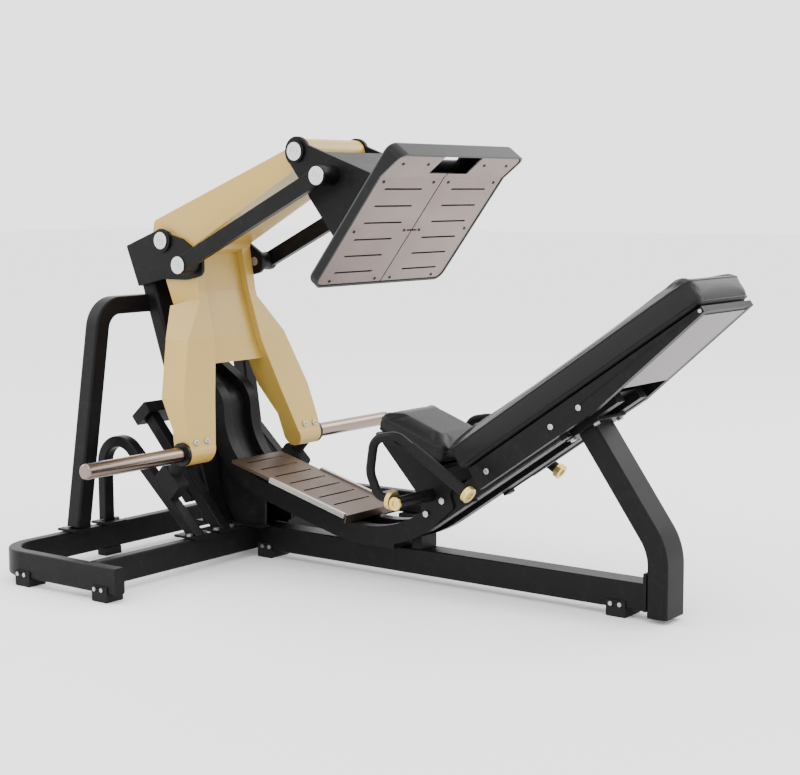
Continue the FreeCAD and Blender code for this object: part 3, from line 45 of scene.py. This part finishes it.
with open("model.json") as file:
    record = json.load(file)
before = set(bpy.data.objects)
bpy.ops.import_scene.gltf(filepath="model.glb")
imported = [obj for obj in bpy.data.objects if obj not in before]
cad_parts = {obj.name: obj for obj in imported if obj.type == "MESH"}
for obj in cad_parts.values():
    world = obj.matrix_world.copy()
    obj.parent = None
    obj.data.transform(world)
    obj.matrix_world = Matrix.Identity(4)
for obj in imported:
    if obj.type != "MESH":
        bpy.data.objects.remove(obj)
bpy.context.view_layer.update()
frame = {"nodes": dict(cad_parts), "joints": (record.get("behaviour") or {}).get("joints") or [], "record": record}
RECORD = frame["record"]

SLIDE = next(j for j in frame["joints"] if j["name"] == "backrest_slide")
BACK_SLOPE = math.atan2(SLIDE["axis"][2], SLIDE["axis"][0])


# ------------------------------------------------------------------ shader kit
class Signal:
    """A shader socket that takes part in plain arithmetic."""

    def __init__(self, finish, socket):
        self.finish = finish
        self.socket = socket

    def _math(self, operation, first, second):
        made = self.finish.node("ShaderNodeMath", {"operation": operation}, {0: first, 1: second})
        return Signal(self.finish, made.outputs[0])

    def __add__(self, other):
        return self._math("ADD", self, other)

    __radd__ = __add__

    def __sub__(self, other):
        return self._math("SUBTRACT", self, other)

    def __rsub__(self, other):
        return self._math("SUBTRACT", other, self)

    def __mul__(self, other):
        return self._math("MULTIPLY", self, other)

    __rmul__ = __mul__


class Finish:
    """One material under construction, with its principled shader."""

    def __init__(self, name, metallic=0.0, ior=1.5):
        self.material = bpy.data.materials.new(name)
        self.material.use_nodes = True
        self.tree = self.material.node_tree
        self.tree.nodes.clear()
        self.shader = self.node("ShaderNodeBsdfPrincipled", {}, {"Metallic": metallic, "IOR": ior})
        out = self.node("ShaderNodeOutputMaterial", {}, {})
        self.tree.links.new(self.shader.outputs[0], out.inputs["Surface"])
        self.place = Signal(self, self.node("ShaderNodeTexCoord", {}, {}).outputs["Object"])

    def node(self, kind, settings, inputs):
        """Make a node, set it up, then give its sockets values or links."""
        made = self.tree.nodes.new(kind)
        for key, value in settings.items():
            if key == "stops":
                ramp = made.color_ramp.elements
                while len(ramp) < len(value):
                    ramp.new(0.5)
                for element, (place, shade) in zip(ramp, value):
                    element.position = place
                    element.color = (shade, shade, shade, 1.0)
            else:
                setattr(made, key, value)
        for key, value in inputs.items():
            if isinstance(value, Signal):
                self.tree.links.new(value.socket, made.inputs[key])
            else:
                made.inputs[key].default_value = value
        return made

    def mapped(self, scale, turn=(0.0, 0.0, 0.0)):
        """Object coordinates, turned and then stretched."""
        turned = self.node("ShaderNodeMapping", {}, {"Vector": self.place, "Rotation": turn})
        stretched = self.node(
            "ShaderNodeMapping", {}, {"Vector": Signal(self, turned.outputs[0]), "Scale": scale}
        )
        return Signal(self, stretched.outputs[0])

    def noise(self, scale, detail=2.0, roughness=0.5, vector=None):
        made = self.node(
            "ShaderNodeTexNoise",
            {"noise_dimensions": "3D"},
            {
                "Vector": vector or self.place,
                "Scale": scale,
                "Detail": detail,
                "Roughness": roughness,
            },
        )
        return Signal(self, made.outputs[0])

    def cells(self, scale, feature="DISTANCE_TO_EDGE", vector=None):
        made = self.node(
            "ShaderNodeTexVoronoi",
            {"feature": feature},
            {"Vector": vector or self.place, "Scale": scale},
        )
        return Signal(self, made.outputs["Distance"])

    def ramp(self, value, stops):
        made = self.node("ShaderNodeValToRGB", {"stops": stops}, {"Fac": value})
        return Signal(self, made.outputs[0])

    def mix(self, factor, first, second):
        made = self.node(
            "ShaderNodeMix", {"data_type": "RGBA"}, {0: factor, 6: first, 7: second}
        )
        return Signal(self, made.outputs[2])

    def bump(self, height, distance, strength):
        made = self.node(
            "ShaderNodeBump", {}, {"Height": height, "Distance": distance, "Strength": strength}
        )
        return Signal(self, made.outputs[0])

    def wear(self, **sockets):
        """Link or set sockets of the principled shader."""
        for key, value in sockets.items():
            socket = self.shader.inputs[key.replace("_", " ")]
            if isinstance(value, Signal):
                self.tree.links.new(value.socket, socket)
            else:
                socket.default_value = value
        return self.material


def rgba(colour, gain=1.0):
    return tuple(min(1.0, c * gain) for c in colour[:3]) + (1.0,)


# ------------------------------------------------------------------ finishes
# Heights of the surface grain, in metres
PEEL_DEPTH = 0.00012
HAIR_DEPTH = 0.00008
PLATED_DEPTH = 0.00003
RUBBER_DEPTH = 0.0002
PORE_DEPTH = 0.00035
HIDE_DEPTH = 0.00042
BOARD_DEPTH = 0.00010
NYLON_DEPTH = 0.0001

# Fineness of the grain: waves or cells in a metre
PEEL_COARSE, PEEL_FINE = 620.0, 1500.0
RUBBER_GRAIN, RUBBER_PITS = 900.0, 420.0
GRIP_PORES = 760.0
HIDE_PEBBLES, HIDE_SMALL_PEBBLES, HIDE_CREASES = 330.0, 720.0, 26.0
NYLON_GRAIN = 540.0
SCRATCH_CELLS = 46.0
FINE_LINES = 2.7  # the fine hair lines against the coarse ones

DUST_TINT = (0.55, 0.53, 0.50, 1.0)
DUST_SHARE = 0.012
MATT_SHEEN = 0.12  # specular level of rubber and foam
BRIGHT_STEEL = (0.42, 0.42, 0.43)
DARK_STEEL = (0.035, 0.032, 0.032)


def powder_coat(name, colour, rough, peel=0.5, shine=0.5, coat=0.18):
    """Powder paint: orange peel, faint clouding and a little dust."""
    f = Finish(name)
    cloud = f.noise(3.5, 4.0)
    dust = f.ramp(f.noise(38.0, 8.0, 0.7), [(0.52, 0.0), (0.78, 1.0)])
    smear = f.noise(1.0, 5.0, 0.6, f.mapped((9.0, 2.0, 14.0)))
    skin = f.noise(PEEL_COARSE, 2.0) * 0.6 + f.noise(PEEL_FINE, 1.0) * 0.4
    tint = f.mix(cloud * 0.5, rgba(colour), rgba(colour, 1.14))
    tint = f.mix(dust * DUST_SHARE, tint, DUST_TINT)
    f.wear(Coat_Roughness=0.22, Specular_IOR_Level=shine)
    return f.wear(
        Base_Color=tint,
        Roughness=cloud * 0.10 + smear * 0.12 + dust * 0.06 + (rough - 0.12),
        Coat_Weight=coat,
        Normal=f.bump(skin, PEEL_DEPTH, peel),
    )


def brushed_metal(name, colour, rough, scale, depth=0.4):
    """Brushed metal: long hair lines, handling smudges and fine scratches."""
    f = Finish(name, metallic=1.0)
    hair = f.noise(1.0, 5.0, 0.65, f.mapped(scale))
    fine = f.noise(1.0, 2.0, 0.5, f.mapped(tuple(FINE_LINES * s for s in scale)))
    smudge = f.noise(6.5, 5.0, 0.6)
    scratch = f.ramp(f.cells(SCRATCH_CELLS, vector=f.mapped((1.0, 0.18, 1.0), (0.4, 0.3, 0.7))),
                     [(0.0, 1.0), (0.012, 0.0)])
    lines = hair * 0.65 + fine * 0.35
    tint = f.mix(lines, rgba(colour, 0.80), rgba(colour, 1.18))
    tint = f.mix(smudge * 0.30, tint, rgba(colour, 0.72))
    f.wear(Anisotropic=0.35)
    return f.wear(
        Base_Color=tint,
        Roughness=lines * 0.16 + smudge * 0.14 + scratch * 0.08 + (rough - 0.15),
        Normal=f.bump(lines - scratch * 0.3, HAIR_DEPTH, depth),
    )


def polished(name, colour, rough):
    """Plated metal: almost a mirror, with faint smudges and hair lines."""
    f = Finish(name, metallic=1.0)
    smudge = f.noise(14.0, 6.0, 0.6)
    hair = f.noise(1.0, 4.0, 0.6, f.mapped((30.0, 520.0, 30.0)))
    tint = f.mix(smudge * 0.35, rgba(colour), rgba(colour, 0.78))
    return f.wear(
        Base_Color=tint,
        Roughness=smudge * 0.14 + hair * 0.06 + (rough - 0.06),
        Normal=f.bump(hair, PLATED_DEPTH, 0.35),
    )


def rubber(name, colour, rough):
    """Moulded rubber: fine grain and pale chalking."""
    f = Finish(name)
    f.wear(Specular_IOR_Level=MATT_SHEEN)
    grain = f.noise(RUBBER_GRAIN, 3.0)
    pits = f.cells(RUBBER_PITS, "F1")
    chalk = f.noise(9.0, 6.0, 0.65)
    tint = f.mix(chalk * 0.5, rgba(colour), rgba(colour, 2.3))
    return f.wear(
        Base_Color=tint,
        Roughness=chalk * 0.16 + (rough - 0.08),
        Normal=f.bump(grain * 0.6 + pits * 0.4, RUBBER_DEPTH, 0.5),
    )


def grip_rubber(name, colour):
    """Foam-rubber grip with fine pores."""
    f = Finish(name)
    f.wear(Specular_IOR_Level=MATT_SHEEN)
    pore = f.cells(GRIP_PORES, "F1")
    cloud = f.noise(30.0, 4.0)
    return f.wear(
        Base_Color=f.mix(cloud * 0.5, rgba(colour), rgba(colour, 2.0)),
        Roughness=cloud * 0.14 + 0.62,
        Normal=f.bump(pore, PORE_DEPTH, 0.6),
    )


def leather(name, colour, rough):
    """Upholstery hide: pebbled cells, creases and a soft uneven sheen; the colour carries painted shade between
    the pebbles and a painted sheen.
    """
    f = Finish(name)
    warp = f.noise(55.0, 3.0)
    pebble = f.ramp(f.cells(HIDE_PEBBLES), [(0.0, 0.0), (0.10, 0.62), (0.32, 1.0)])
    small = f.ramp(f.cells(HIDE_SMALL_PEBBLES), [(0.0, 0.0), (0.16, 1.0)])
    crease = f.ramp(f.cells(HIDE_CREASES, vector=f.mapped((1.0, 0.45, 1.0))),
                    [(0.0, 0.0), (0.05, 1.0)])
    sheen_patches = f.noise(5.0, 5.0, 0.6)
    height = pebble * 0.75 + small * 0.25 + warp * 0.35 + crease * 0.10
    # Painted shade: darker in the hollows between the pebbles, lighter on their tops
    tint = f.mix(pebble, rgba(colour, 0.55), rgba(colour, 1.25))
    # Painted sheen: lighter patches in the colour; the same patches make the hide rougher
    tint = f.mix(sheen_patches * 0.30, tint, rgba(colour, 1.9))
    f.wear(Specular_IOR_Level=0.17)
    return f.wear(
        Base_Color=tint,
        Roughness=sheen_patches * 0.16 - pebble * 0.07 + rough,
        Normal=f.bump(height, HIDE_DEPTH, 0.55),
    )


def varnished_board(name, colour):
    """Varnished plywood board with long grain."""
    f = Finish(name)
    bands = f.noise(1.0, 6.0, 0.62, f.mapped((5.0, 46.0, 60.0), (0.0, BACK_SLOPE, 0.0)))
    pores = f.noise(1.0, 3.0, 0.6, f.mapped((24.0, 420.0, 420.0), (0.0, BACK_SLOPE, 0.0)))
    streaks = f.ramp(bands, [(0.35, 0.0), (0.65, 1.0)])
    tint = f.mix(streaks, rgba(colour, 0.62), rgba(colour, 1.5))
    f.wear(Coat_Roughness=0.18)
    return f.wear(
        Base_Color=tint,
        Roughness=pores * 0.14 + 0.34,
        Coat_Weight=0.30,
        Normal=f.bump(pores, BOARD_DEPTH, 0.35),
    )


def plastic(name, colour, rough):
    """Moulded nylon with a fine grain."""
    f = Finish(name)
    cloud = f.noise(18.0, 4.0)
    grain = f.noise(NYLON_GRAIN, 2.0)
    return f.wear(
        Base_Color=f.mix(cloud * 0.4, rgba(colour), rgba(colour, 1.6)),
        Roughness=cloud * 0.12 + (rough - 0.06),
        Normal=f.bump(grain, NYLON_DEPTH, 0.4),
    )


# ------------------------------------------------------------------ settings
def shade(text, default):
    return bpy.props.FloatVectorProperty(
        name=text, description=text, subtype="COLOR", size=3, min=0.0, max=1.0, default=default
    )


def length(text, default):
    return bpy.props.FloatProperty(
        name=text, description=text, default=default, min=0.0, unit="LENGTH"
    )


class LegPressColours(bpy.types.PropertyGroup):
    """Colours of the finishes."""

    gold: shade("Mustard-gold paint of the lever", (0.405, 0.262, 0.050))
    black: shade("Satin black paint of the frame", (0.0045, 0.0040, 0.0046))
    plate: shade("Tinted steel of the foot plate", (0.235, 0.188, 0.172))
    step: shade("Darker tint of the step plate", (0.098, 0.066, 0.050))
    hide: shade("Black hide of the pads", (0.0052, 0.0052, 0.0058))
    board: shade("Red-brown board under the back pad", (0.020, 0.0062, 0.0042))
    peg: shade("Plated weight pegs", (0.235, 0.178, 0.150))
    cap: shade("Gold anodised caps", (0.56, 0.34, 0.045))


class LegPressEdges(bpy.types.PropertyGroup):
    """Softening of the metalwork's edges."""

    width: length("Rounding of the sharp edges", 0.0011)


class LegPressCushions(bpy.types.PropertyGroup):
    """Sizes of the upholstery."""

    edge: length("Rounding of a pad's edges", 0.030)
    seat_edge: length("Rounding of the seat pad's edges", 0.026)
    slack: length("How much smaller a pad starts before it swells", 0.0045)
    voxel: length("Size of the cloth's mesh", 0.0055)
    swell: length("Most that the hide may move", 0.011)
    welt: length("Radius of the welt cord", 0.0019)
    welt_drop: length("Welt's distance under the pad's top", 0.030)
    seat_tilt: bpy.props.FloatProperty(
        name="Seat tilt", description="Fall of the seat toward the back rest",
        default=math.radians(-20.0), subtype="ANGLE",
    )


# ------------------------------------------------------------------ helpers
# Edges of the metalwork
SEAM_GAP = 0.000005
SHARP_ANGLE = math.radians(42.0)
EDGE_SEGMENTS = 2
SHADING_WEIGHT = 60

# Hide of the pads, blown up as cloth
HIDE_PRESSURE = 4.0
HIDE_STRETCH = 18.0
HIDE_BEND = 1.2
HIDE_FRAMES = 20
HIDE_PROUD = 0.004  # how far the hide may stand out of the pad's own block
SEAM_BAND = 0.8  # half height of the held base band, in mesh cells
WELT_BAND = 0.7  # the band under the welt against the base band

# Rounding of a pad
CORNER_SEGMENTS = 6
RIM_SEGMENTS = 5
RIM_SHARE = 0.92  # the rim's rounding against the corners'
WELT_SEGMENTS = 8
WELT_STEP = 5  # distance of the welt's points, in mesh cells


def dress(mesh, material):
    """Give the whole mesh one material and smooth shading."""
    mesh.materials.clear()
    mesh.materials.append(material)
    for face in mesh.polygons:
        face.use_smooth = True


def add_piece(name, mesh, body, material):
    """Put a smooth mesh of one material on a body."""
    piece = bpy.data.objects.new(name, mesh)
    bpy.context.scene.collection.objects.link(piece)
    dress(mesh, material)
    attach(piece, body)


def soften(node, width):
    """Join the shells' seams, round the sharp edges and even out the shading."""
    weld = node.modifiers.new("Join seams", "WELD")
    weld.merge_threshold = SEAM_GAP
    bevel = node.modifiers.new("Soft edges", "BEVEL")
    bevel.limit_method = "ANGLE"
    bevel.angle_limit = SHARP_ANGLE
    bevel.width = width
    bevel.segments = EDGE_SEGMENTS
    bevel.profile = 0.5
    shading = node.modifiers.new("Even shading", "WEIGHTED_NORMAL")
    shading.keep_sharp = True
    shading.weight = SHADING_WEIGHT


def finish_named(name):
    found = bpy.data.materials.get(name)
    if found is None:
        raise RuntimeError("make the finishes first: " + name)
    return found


def pad_frame(node, tilt, edge):
    """Centre, turn, length, width and thickness of a tilted pad from its CAD box."""
    low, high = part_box(node)
    span = high - low
    c, s = math.cos(tilt), abs(math.sin(tilt))
    wide = span.x - 2 * edge
    tall = span.z - 2 * edge
    det = c * c - s * s
    run = (c * wide - s * tall) / det + 2 * edge
    thick = (c * tall - s * wide) / det + 2 * edge
    centre = (low + high) / 2
    return centre, Matrix.Rotation(-tilt, 4, "Y"), Vector((run, span.y, thick))


def cushion_mesh(name, size, edge, slack):
    """Closed pad: a rounded block, slightly small."""
    bm = bmesh.new()
    bmesh.ops.create_cube(bm, size=1.0)
    bmesh.ops.scale(bm, vec=size - Vector((2 * slack, 2 * slack, 2 * slack)), verts=bm.verts)
    uprights = [e for e in bm.edges if abs((e.verts[0].co - e.verts[1].co).z) > size.z * 0.5]
    bmesh.ops.bevel(bm, geom=uprights, offset=edge, segments=CORNER_SEGMENTS, profile=0.5,
                    affect="EDGES", material=-1)
    rims = [e for e in bm.edges if abs((e.verts[0].co - e.verts[1].co).z) < 1e-6]
    bmesh.ops.bevel(bm, geom=rims, offset=edge * RIM_SHARE, segments=RIM_SEGMENTS, profile=0.5,
                    affect="EDGES", material=-1)
    bmesh.ops.recalc_face_normals(bm, faces=bm.faces)
    mesh = bpy.data.meshes.new(name)
    bm.to_mesh(mesh)
    bm.free()
    return mesh


def settle(obj, options, size, seam_z, scene):
    """Remesh the pad and blow it up as cloth with its seams held, no further than allowed."""
    remesh = obj.modifiers.new("Even mesh", "REMESH")
    remesh.mode = "VOXEL"
    remesh.voxel_size = options.voxel
    bake_modifiers(obj)
    start = [v.co.copy() for v in obj.data.vertices]
    held = obj.vertex_groups.new(name="seams")
    band = options.voxel * SEAM_BAND
    for v in obj.data.vertices:
        low = v.co.z < -size.z / 2 + options.slack + band
        if low or abs(v.co.z - seam_z) < band * WELT_BAND:
            held.add([v.index], 1.0, "REPLACE")
    cloth = obj.modifiers.new("Hide", "CLOTH")
    cloth.settings.use_pressure = True
    cloth.settings.uniform_pressure_force = HIDE_PRESSURE
    cloth.settings.effector_weights.gravity = 0.0
    cloth.settings.vertex_group_mass = "seams"
    cloth.settings.tension_stiffness = HIDE_STRETCH
    cloth.settings.compression_stiffness = HIDE_STRETCH
    cloth.settings.bending_stiffness = HIDE_BEND
    cloth.point_cache.frame_start = 1
    cloth.point_cache.frame_end = HIDE_FRAMES
    for tick in range(1, HIDE_FRAMES + 1):
        scene.frame_set(tick)
    bake_modifiers(obj)
    scene.frame_set(1)
    for v, rest in zip(obj.data.vertices, start):
        moved = v.co - rest
        if moved.length > options.swell:
            v.co = rest + moved.normalized() * options.swell
    obj.vertex_groups.clear()


def bake_modifiers(obj):
    """Put the mesh that the modifiers give in the place of the object's own."""
    graph = bpy.context.evaluated_depsgraph_get()
    fresh = bpy.data.meshes.new_from_object(obj.evaluated_get(graph), depsgraph=graph)
    old = obj.data
    obj.modifiers.clear()
    obj.data = fresh
    bpy.data.meshes.remove(old)


def trim_to_box(mesh, size, proud):
    """Keep the swollen hide within the pad's own block plus a little fullness."""
    half = size / 2
    for v in mesh.vertices:
        v.co.x = max(-half.x - proud, min(half.x + proud, v.co.x))
        v.co.y = max(-half.y - proud, min(half.y + proud, v.co.y))
        v.co.z = max(-half.z, min(half.z + proud, v.co.z))


def build_pad(name, node, body, tilt, edge, options):
    """Sew a pad with its two welts in the place of a CAD node."""
    scene = bpy.context.scene
    centre, turn, size = pad_frame(node, tilt, edge)
    seam_z = size.z / 2 - options.welt_drop
    mesh = cushion_mesh(name, size, edge, options.slack)
    obj = bpy.data.objects.new(name, mesh)
    scene.collection.objects.link(obj)
    settle(obj, options, size, seam_z, scene)
    trim_to_box(obj.data, size, HIDE_PROUD)
    place = Matrix.Translation(centre) @ turn
    for label, height in (("top", seam_z), ("base", -size.z / 2 + options.welt_drop * 0.5)):
        build_welt(name + "_welt_" + label, obj, size, edge, height, place, body, options)
    obj.data.transform(place)
    obj.data.update()
    dress(obj.data, finish_named("pad_hide"))
    soft = obj.modifiers.new("Soft", "SUBSURF")
    soft.levels = 1
    soft.render_levels = 1
    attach(obj, body)
    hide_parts(node)
    return obj


def rounded_loop(bm, half_x, half_y, corner, height):
    """Flat loop with rounded corners, made by bevelling a rectangle's corners."""
    made = bmesh.ops.create_grid(bm, x_segments=1, y_segments=1, size=1.0)
    bmesh.ops.scale(bm, vec=(half_x, half_y, 1.0), verts=made["verts"])
    bmesh.ops.translate(bm, vec=(0.0, 0.0, height), verts=made["verts"])
    bmesh.ops.bevel(bm, geom=made["verts"], offset=corner, segments=WELT_SEGMENTS,
                    profile=0.5, affect="VERTICES", material=-1)


def close_points(ring, step):
    """The same closed line with points no further apart than the step."""
    dense = []
    for here, after in zip(ring, ring[1:] + ring[:1]):
        parts = max(1, math.ceil((after - here).length / step))
        dense += [here.lerp(after, k / parts) for k in range(parts)]
    return dense


def build_welt(name, pad, size, corner, height, place, body, options):
    """Welt cord sewn round the pad, lying on its hide."""
    bm = bmesh.new()
    rounded_loop(bm, size.x / 2 - options.slack, size.y / 2 - options.slack, corner, height)
    face = bm.faces[:][0]
    ring = [loop.vert.co.copy() for loop in face.loops]
    bm.free()
    lying = []
    for at in close_points(ring, options.voxel * WELT_STEP):
        hide = pad.closest_point_on_mesh(at)[1]
        lying.append((hide.x, hide.y, height, 1.0))
    curve = bpy.data.curves.new(name, "CURVE")
    curve.dimensions = "3D"
    curve.bevel_depth = options.welt
    curve.bevel_resolution = 3
    line = curve.splines.new("POLY")
    line.points.add(len(lying) - 1)
    for point, at in zip(line.points, lying):
        point.co = at
    line.use_cyclic_u = True
    holder = bpy.data.objects.new(name, curve)
    bpy.context.scene.collection.objects.link(holder)
    graph = bpy.context.evaluated_depsgraph_get()
    mesh = bpy.data.meshes.new_from_object(holder.evaluated_get(graph), depsgraph=graph)
    bpy.data.objects.remove(holder)
    mesh.transform(place)
    mesh.name = name
    add_piece(name, mesh, body, finish_named("pad_hide"))


# ------------------------------------------------------------------ operators
class LEGPRESS_OT_finishes(bpy.types.Operator):
    """Make every finish of the machine"""

    bl_idname = "legpress.finishes"
    bl_label = "Make finishes"

    def execute(self, context):
        c = context.scene.leg_press_colours
        powder_coat("gold_paint", c.gold, 0.36, 0.35)
        powder_coat("black_paint", c.black, 0.44, 0.5, 0.10, 0.02)
        powder_coat("gloss_black", c.black, 0.32, 0.2, 0.14, 0.05)
        brushed_metal("plate_metal", c.plate, 0.46, (14.0, 900.0, 14.0))
        brushed_metal("step_metal", c.step, 0.44, (240.0, 6.0, 240.0))
        brushed_metal("rail_metal", (0.42, 0.40, 0.37), 0.36, (8.0, 400.0, 400.0))
        brushed_metal("pin_metal", BRIGHT_STEEL, 0.34, (120.0, 900.0, 120.0))
        brushed_metal("screw_metal", DARK_STEEL, 0.40, (160.0, 160.0, 160.0), depth=0.2)
        brushed_metal("bolt_metal", BRIGHT_STEEL, 0.34, (160.0, 160.0, 160.0), depth=0.2)
        polished("peg_plating", c.peg, 0.17)
        polished("cap_plating", (0.62, 0.62, 0.63), 0.24)
        brushed_metal("cap_gold", c.cap, 0.32, (60.0, 60.0, 60.0), depth=0.15)
        brushed_metal("bush_metal", (0.55, 0.40, 0.18), 0.34, (60.0, 600.0, 60.0))
        rubber("black_rubber", (0.0075, 0.0072, 0.0072), 0.72)
        grip_rubber("grip_rubber", (0.0052, 0.0050, 0.0050))
        leather("pad_hide", c.hide, 0.34)
        varnished_board("board", c.board)
        plastic("slide_plastic", (0.03, 0.03, 0.03), 0.5)
        return {"FINISHED"}


SLOT_FINISH = {
    "frame_black": "black_paint",
    "tray_black": "gloss_black",
    "flange_black": "gloss_black",
    "lever_gold": "gold_paint",
    "step_brown": "step_metal",
    "plate_steel": "plate_metal",
    "rail_alu": "rail_metal",
    "peg_chrome": "peg_plating",
    "pivot_cap": "cap_plating",
    "pin_steel": "pin_metal",
    "bolt_steel": "bolt_metal",
    "cap_gold": "cap_gold",
    "bush_brass": "bush_metal",
    "rubber_black": "black_rubber",
    "slide_nylon": "slide_plastic",
    "pad_leather": "pad_hide",
    "board_brown": "board",
}
NODE_FINISH = {
    "hand_grips": "grip_rubber",
    "sheet_screws": "screw_metal",
    "seat_board": "black_paint",
}
PLAIN_NODES = {
    "foot_sheet",
    "sheet_screws",
    "frame_bolts",
    "carriage_bolts",
    "lever_bolts",
    "back_pad",
    "seat_pad",
}


class LEGPRESS_OT_metalwork(bpy.types.Operator):
    """Give each CAD node its finish, with softened edges"""

    bl_idname = "legpress.metalwork"
    bl_label = "Finish the metalwork"

    def execute(self, context):
        for part in RECORD["subparts"]:
            node = frame["nodes"][part["node"]]
            wanted = NODE_FINISH.get(part["node"], SLOT_FINISH[part["material_slot"]])
            for slot in node.material_slots:
                slot.material = finish_named(wanted)
            if part["node"] not in PLAIN_NODES:
                soften(node, context.scene.leg_press_edges.width)
        return {"FINISHED"}


class LEGPRESS_OT_back_pad(bpy.types.Operator):
    """Sew the long pad of the back rest"""

    bl_idname = "legpress.back_pad"
    bl_label = "Back pad"

    def execute(self, context):
        options = context.scene.leg_press_cushions
        build_pad("back_cushion", "back_pad", "carriage", BACK_SLOPE, options.edge, options)
        return {"FINISHED"}


class LEGPRESS_OT_seat_pad(bpy.types.Operator):
    """Sew the seat pad"""

    bl_idname = "legpress.seat_pad"
    bl_label = "Seat pad"

    def execute(self, context):
        options = context.scene.leg_press_cushions
        build_pad("seat_cushion", "seat_pad", "frame", options.seat_tilt, options.seat_edge,
                  options)
        return {"FINISHED"}


# Name, place, what it points at, size and power of each soft light
STAGE_LIGHTS = (
    ("key_panel", (1.2, -4.2, 4.4), (0.0, 0.0, 0.7), (3.2, 2.2), 70.0),
    ("left_panel", (-4.6, -1.6, 2.6), (0.0, 0.0, 0.7), (2.4, 3.0), 60.0),
    ("back_panel", (1.5, 4.6, 3.6), (0.0, 0.0, 0.8), (3.6, 1.8), 110.0),
    ("top_panel", (0.0, 0.0, 5.2), (0.0, 0.0, 0.0), (3.6, 3.0), 60.0),
)
FLOOR_HALF = 40.0
WORLD_STRENGTH = 2.5
SENSOR_WIDTH = 36.0
FOCAL_LENGTH = 74.64
CLIP_NEAR, CLIP_FAR = 0.05, 60.0
CAMERA_PLACE = (3.0200, -4.080, 1.192)
CAMERA_LOOK = (-0.5954, 0.795, -0.1161)
CAMERA_RIGHT = (0.8007, 0.5991, -0.0034)


def area_light(name, place, target, size, power):
    lamp = bpy.data.lights.new(name, "AREA")
    lamp.shape = "RECTANGLE"
    lamp.size, lamp.size_y = size
    lamp.energy = power
    holder = bpy.data.objects.new(name, lamp)
    bpy.context.scene.collection.objects.link(holder)
    holder.location = place
    aim = Vector(target) - Vector(place)
    holder.rotation_euler = aim.to_track_quat("-Z", "Y").to_euler()


class LEGPRESS_OT_stage(bpy.types.Operator):
    """Set the floor, the soft lights and the camera"""

    bl_idname = "legpress.stage"
    bl_label = "Studio stage"

    def execute(self, context):
        bm = bmesh.new()
        bmesh.ops.create_grid(bm, x_segments=1, y_segments=1, size=FLOOR_HALF)
        mesh = bpy.data.meshes.new("studio_floor")
        bm.to_mesh(mesh)
        bm.free()
        floor = bpy.data.objects.new("studio_floor", mesh)
        context.scene.collection.objects.link(floor)
        cover = Finish("floor_paper")
        cover.wear(Base_Color=(0.90, 0.90, 0.90, 1.0), Roughness=0.85)
        mesh.materials.append(cover.material)

        world = bpy.data.worlds.new("studio_world")
        world.use_nodes = True
        world.node_tree.nodes["Background"].inputs[0].default_value = (1.0, 1.0, 1.0, 1.0)
        world.node_tree.nodes["Background"].inputs[1].default_value = WORLD_STRENGTH
        context.scene.world = world

        for light in STAGE_LIGHTS:
            area_light(*light)

        lens = bpy.data.cameras.new("main_camera")
        lens.sensor_width = SENSOR_WIDTH
        lens.lens = FOCAL_LENGTH
        lens.clip_start = CLIP_NEAR
        lens.clip_end = CLIP_FAR
        camera = bpy.data.objects.new("main_camera", lens)
        context.scene.collection.objects.link(camera)
        camera.location = CAMERA_PLACE
        look = Vector(CAMERA_LOOK).normalized()
        right = Vector(CAMERA_RIGHT)
        right = (right - look * right.dot(look)).normalized()
        up = right.cross(look)
        camera.rotation_euler = Matrix((right, up, -look)).transposed().to_euler()
        context.scene.camera = camera
        return {"FINISHED"}


class LEGPRESS_PT_panel(bpy.types.Panel):
    """Lists the steps that finish the leg press"""

    bl_idname = "LEGPRESS_PT_panel"
    bl_label = "Leg press"
    bl_space_type = "VIEW_3D"
    bl_region_type = "UI"
    bl_category = "Leg press"

    def draw(self, context):
        for step in STEPS:
            self.layout.operator(step.bl_idname)


STEPS = (
    LEGPRESS_OT_finishes,
    LEGPRESS_OT_metalwork,
    LEGPRESS_OT_back_pad,
    LEGPRESS_OT_seat_pad,
    LEGPRESS_OT_stage,
)
CLASSES = (LegPressColours, LegPressEdges, LegPressCushions) + STEPS + (LEGPRESS_PT_panel,)


def register():
    for cls in CLASSES:
        bpy.utils.register_class(cls)
    bpy.types.Scene.leg_press_colours = bpy.props.PointerProperty(type=LegPressColours)
    bpy.types.Scene.leg_press_edges = bpy.props.PointerProperty(type=LegPressEdges)
    bpy.types.Scene.leg_press_cushions = bpy.props.PointerProperty(type=LegPressCushions)


def unregister():
    del bpy.types.Scene.leg_press_cushions
    del bpy.types.Scene.leg_press_edges
    del bpy.types.Scene.leg_press_colours
    for cls in reversed(CLASSES):
        bpy.utils.unregister_class(cls)


def main():
    register()
    bpy.ops.legpress.finishes()
    bpy.ops.legpress.metalwork()
    bpy.ops.legpress.back_pad()
    bpy.ops.legpress.seat_pad()
    bpy.ops.legpress.stage()
    bpy.context.view_layer.update()


if __name__ == "__main__":
    main()
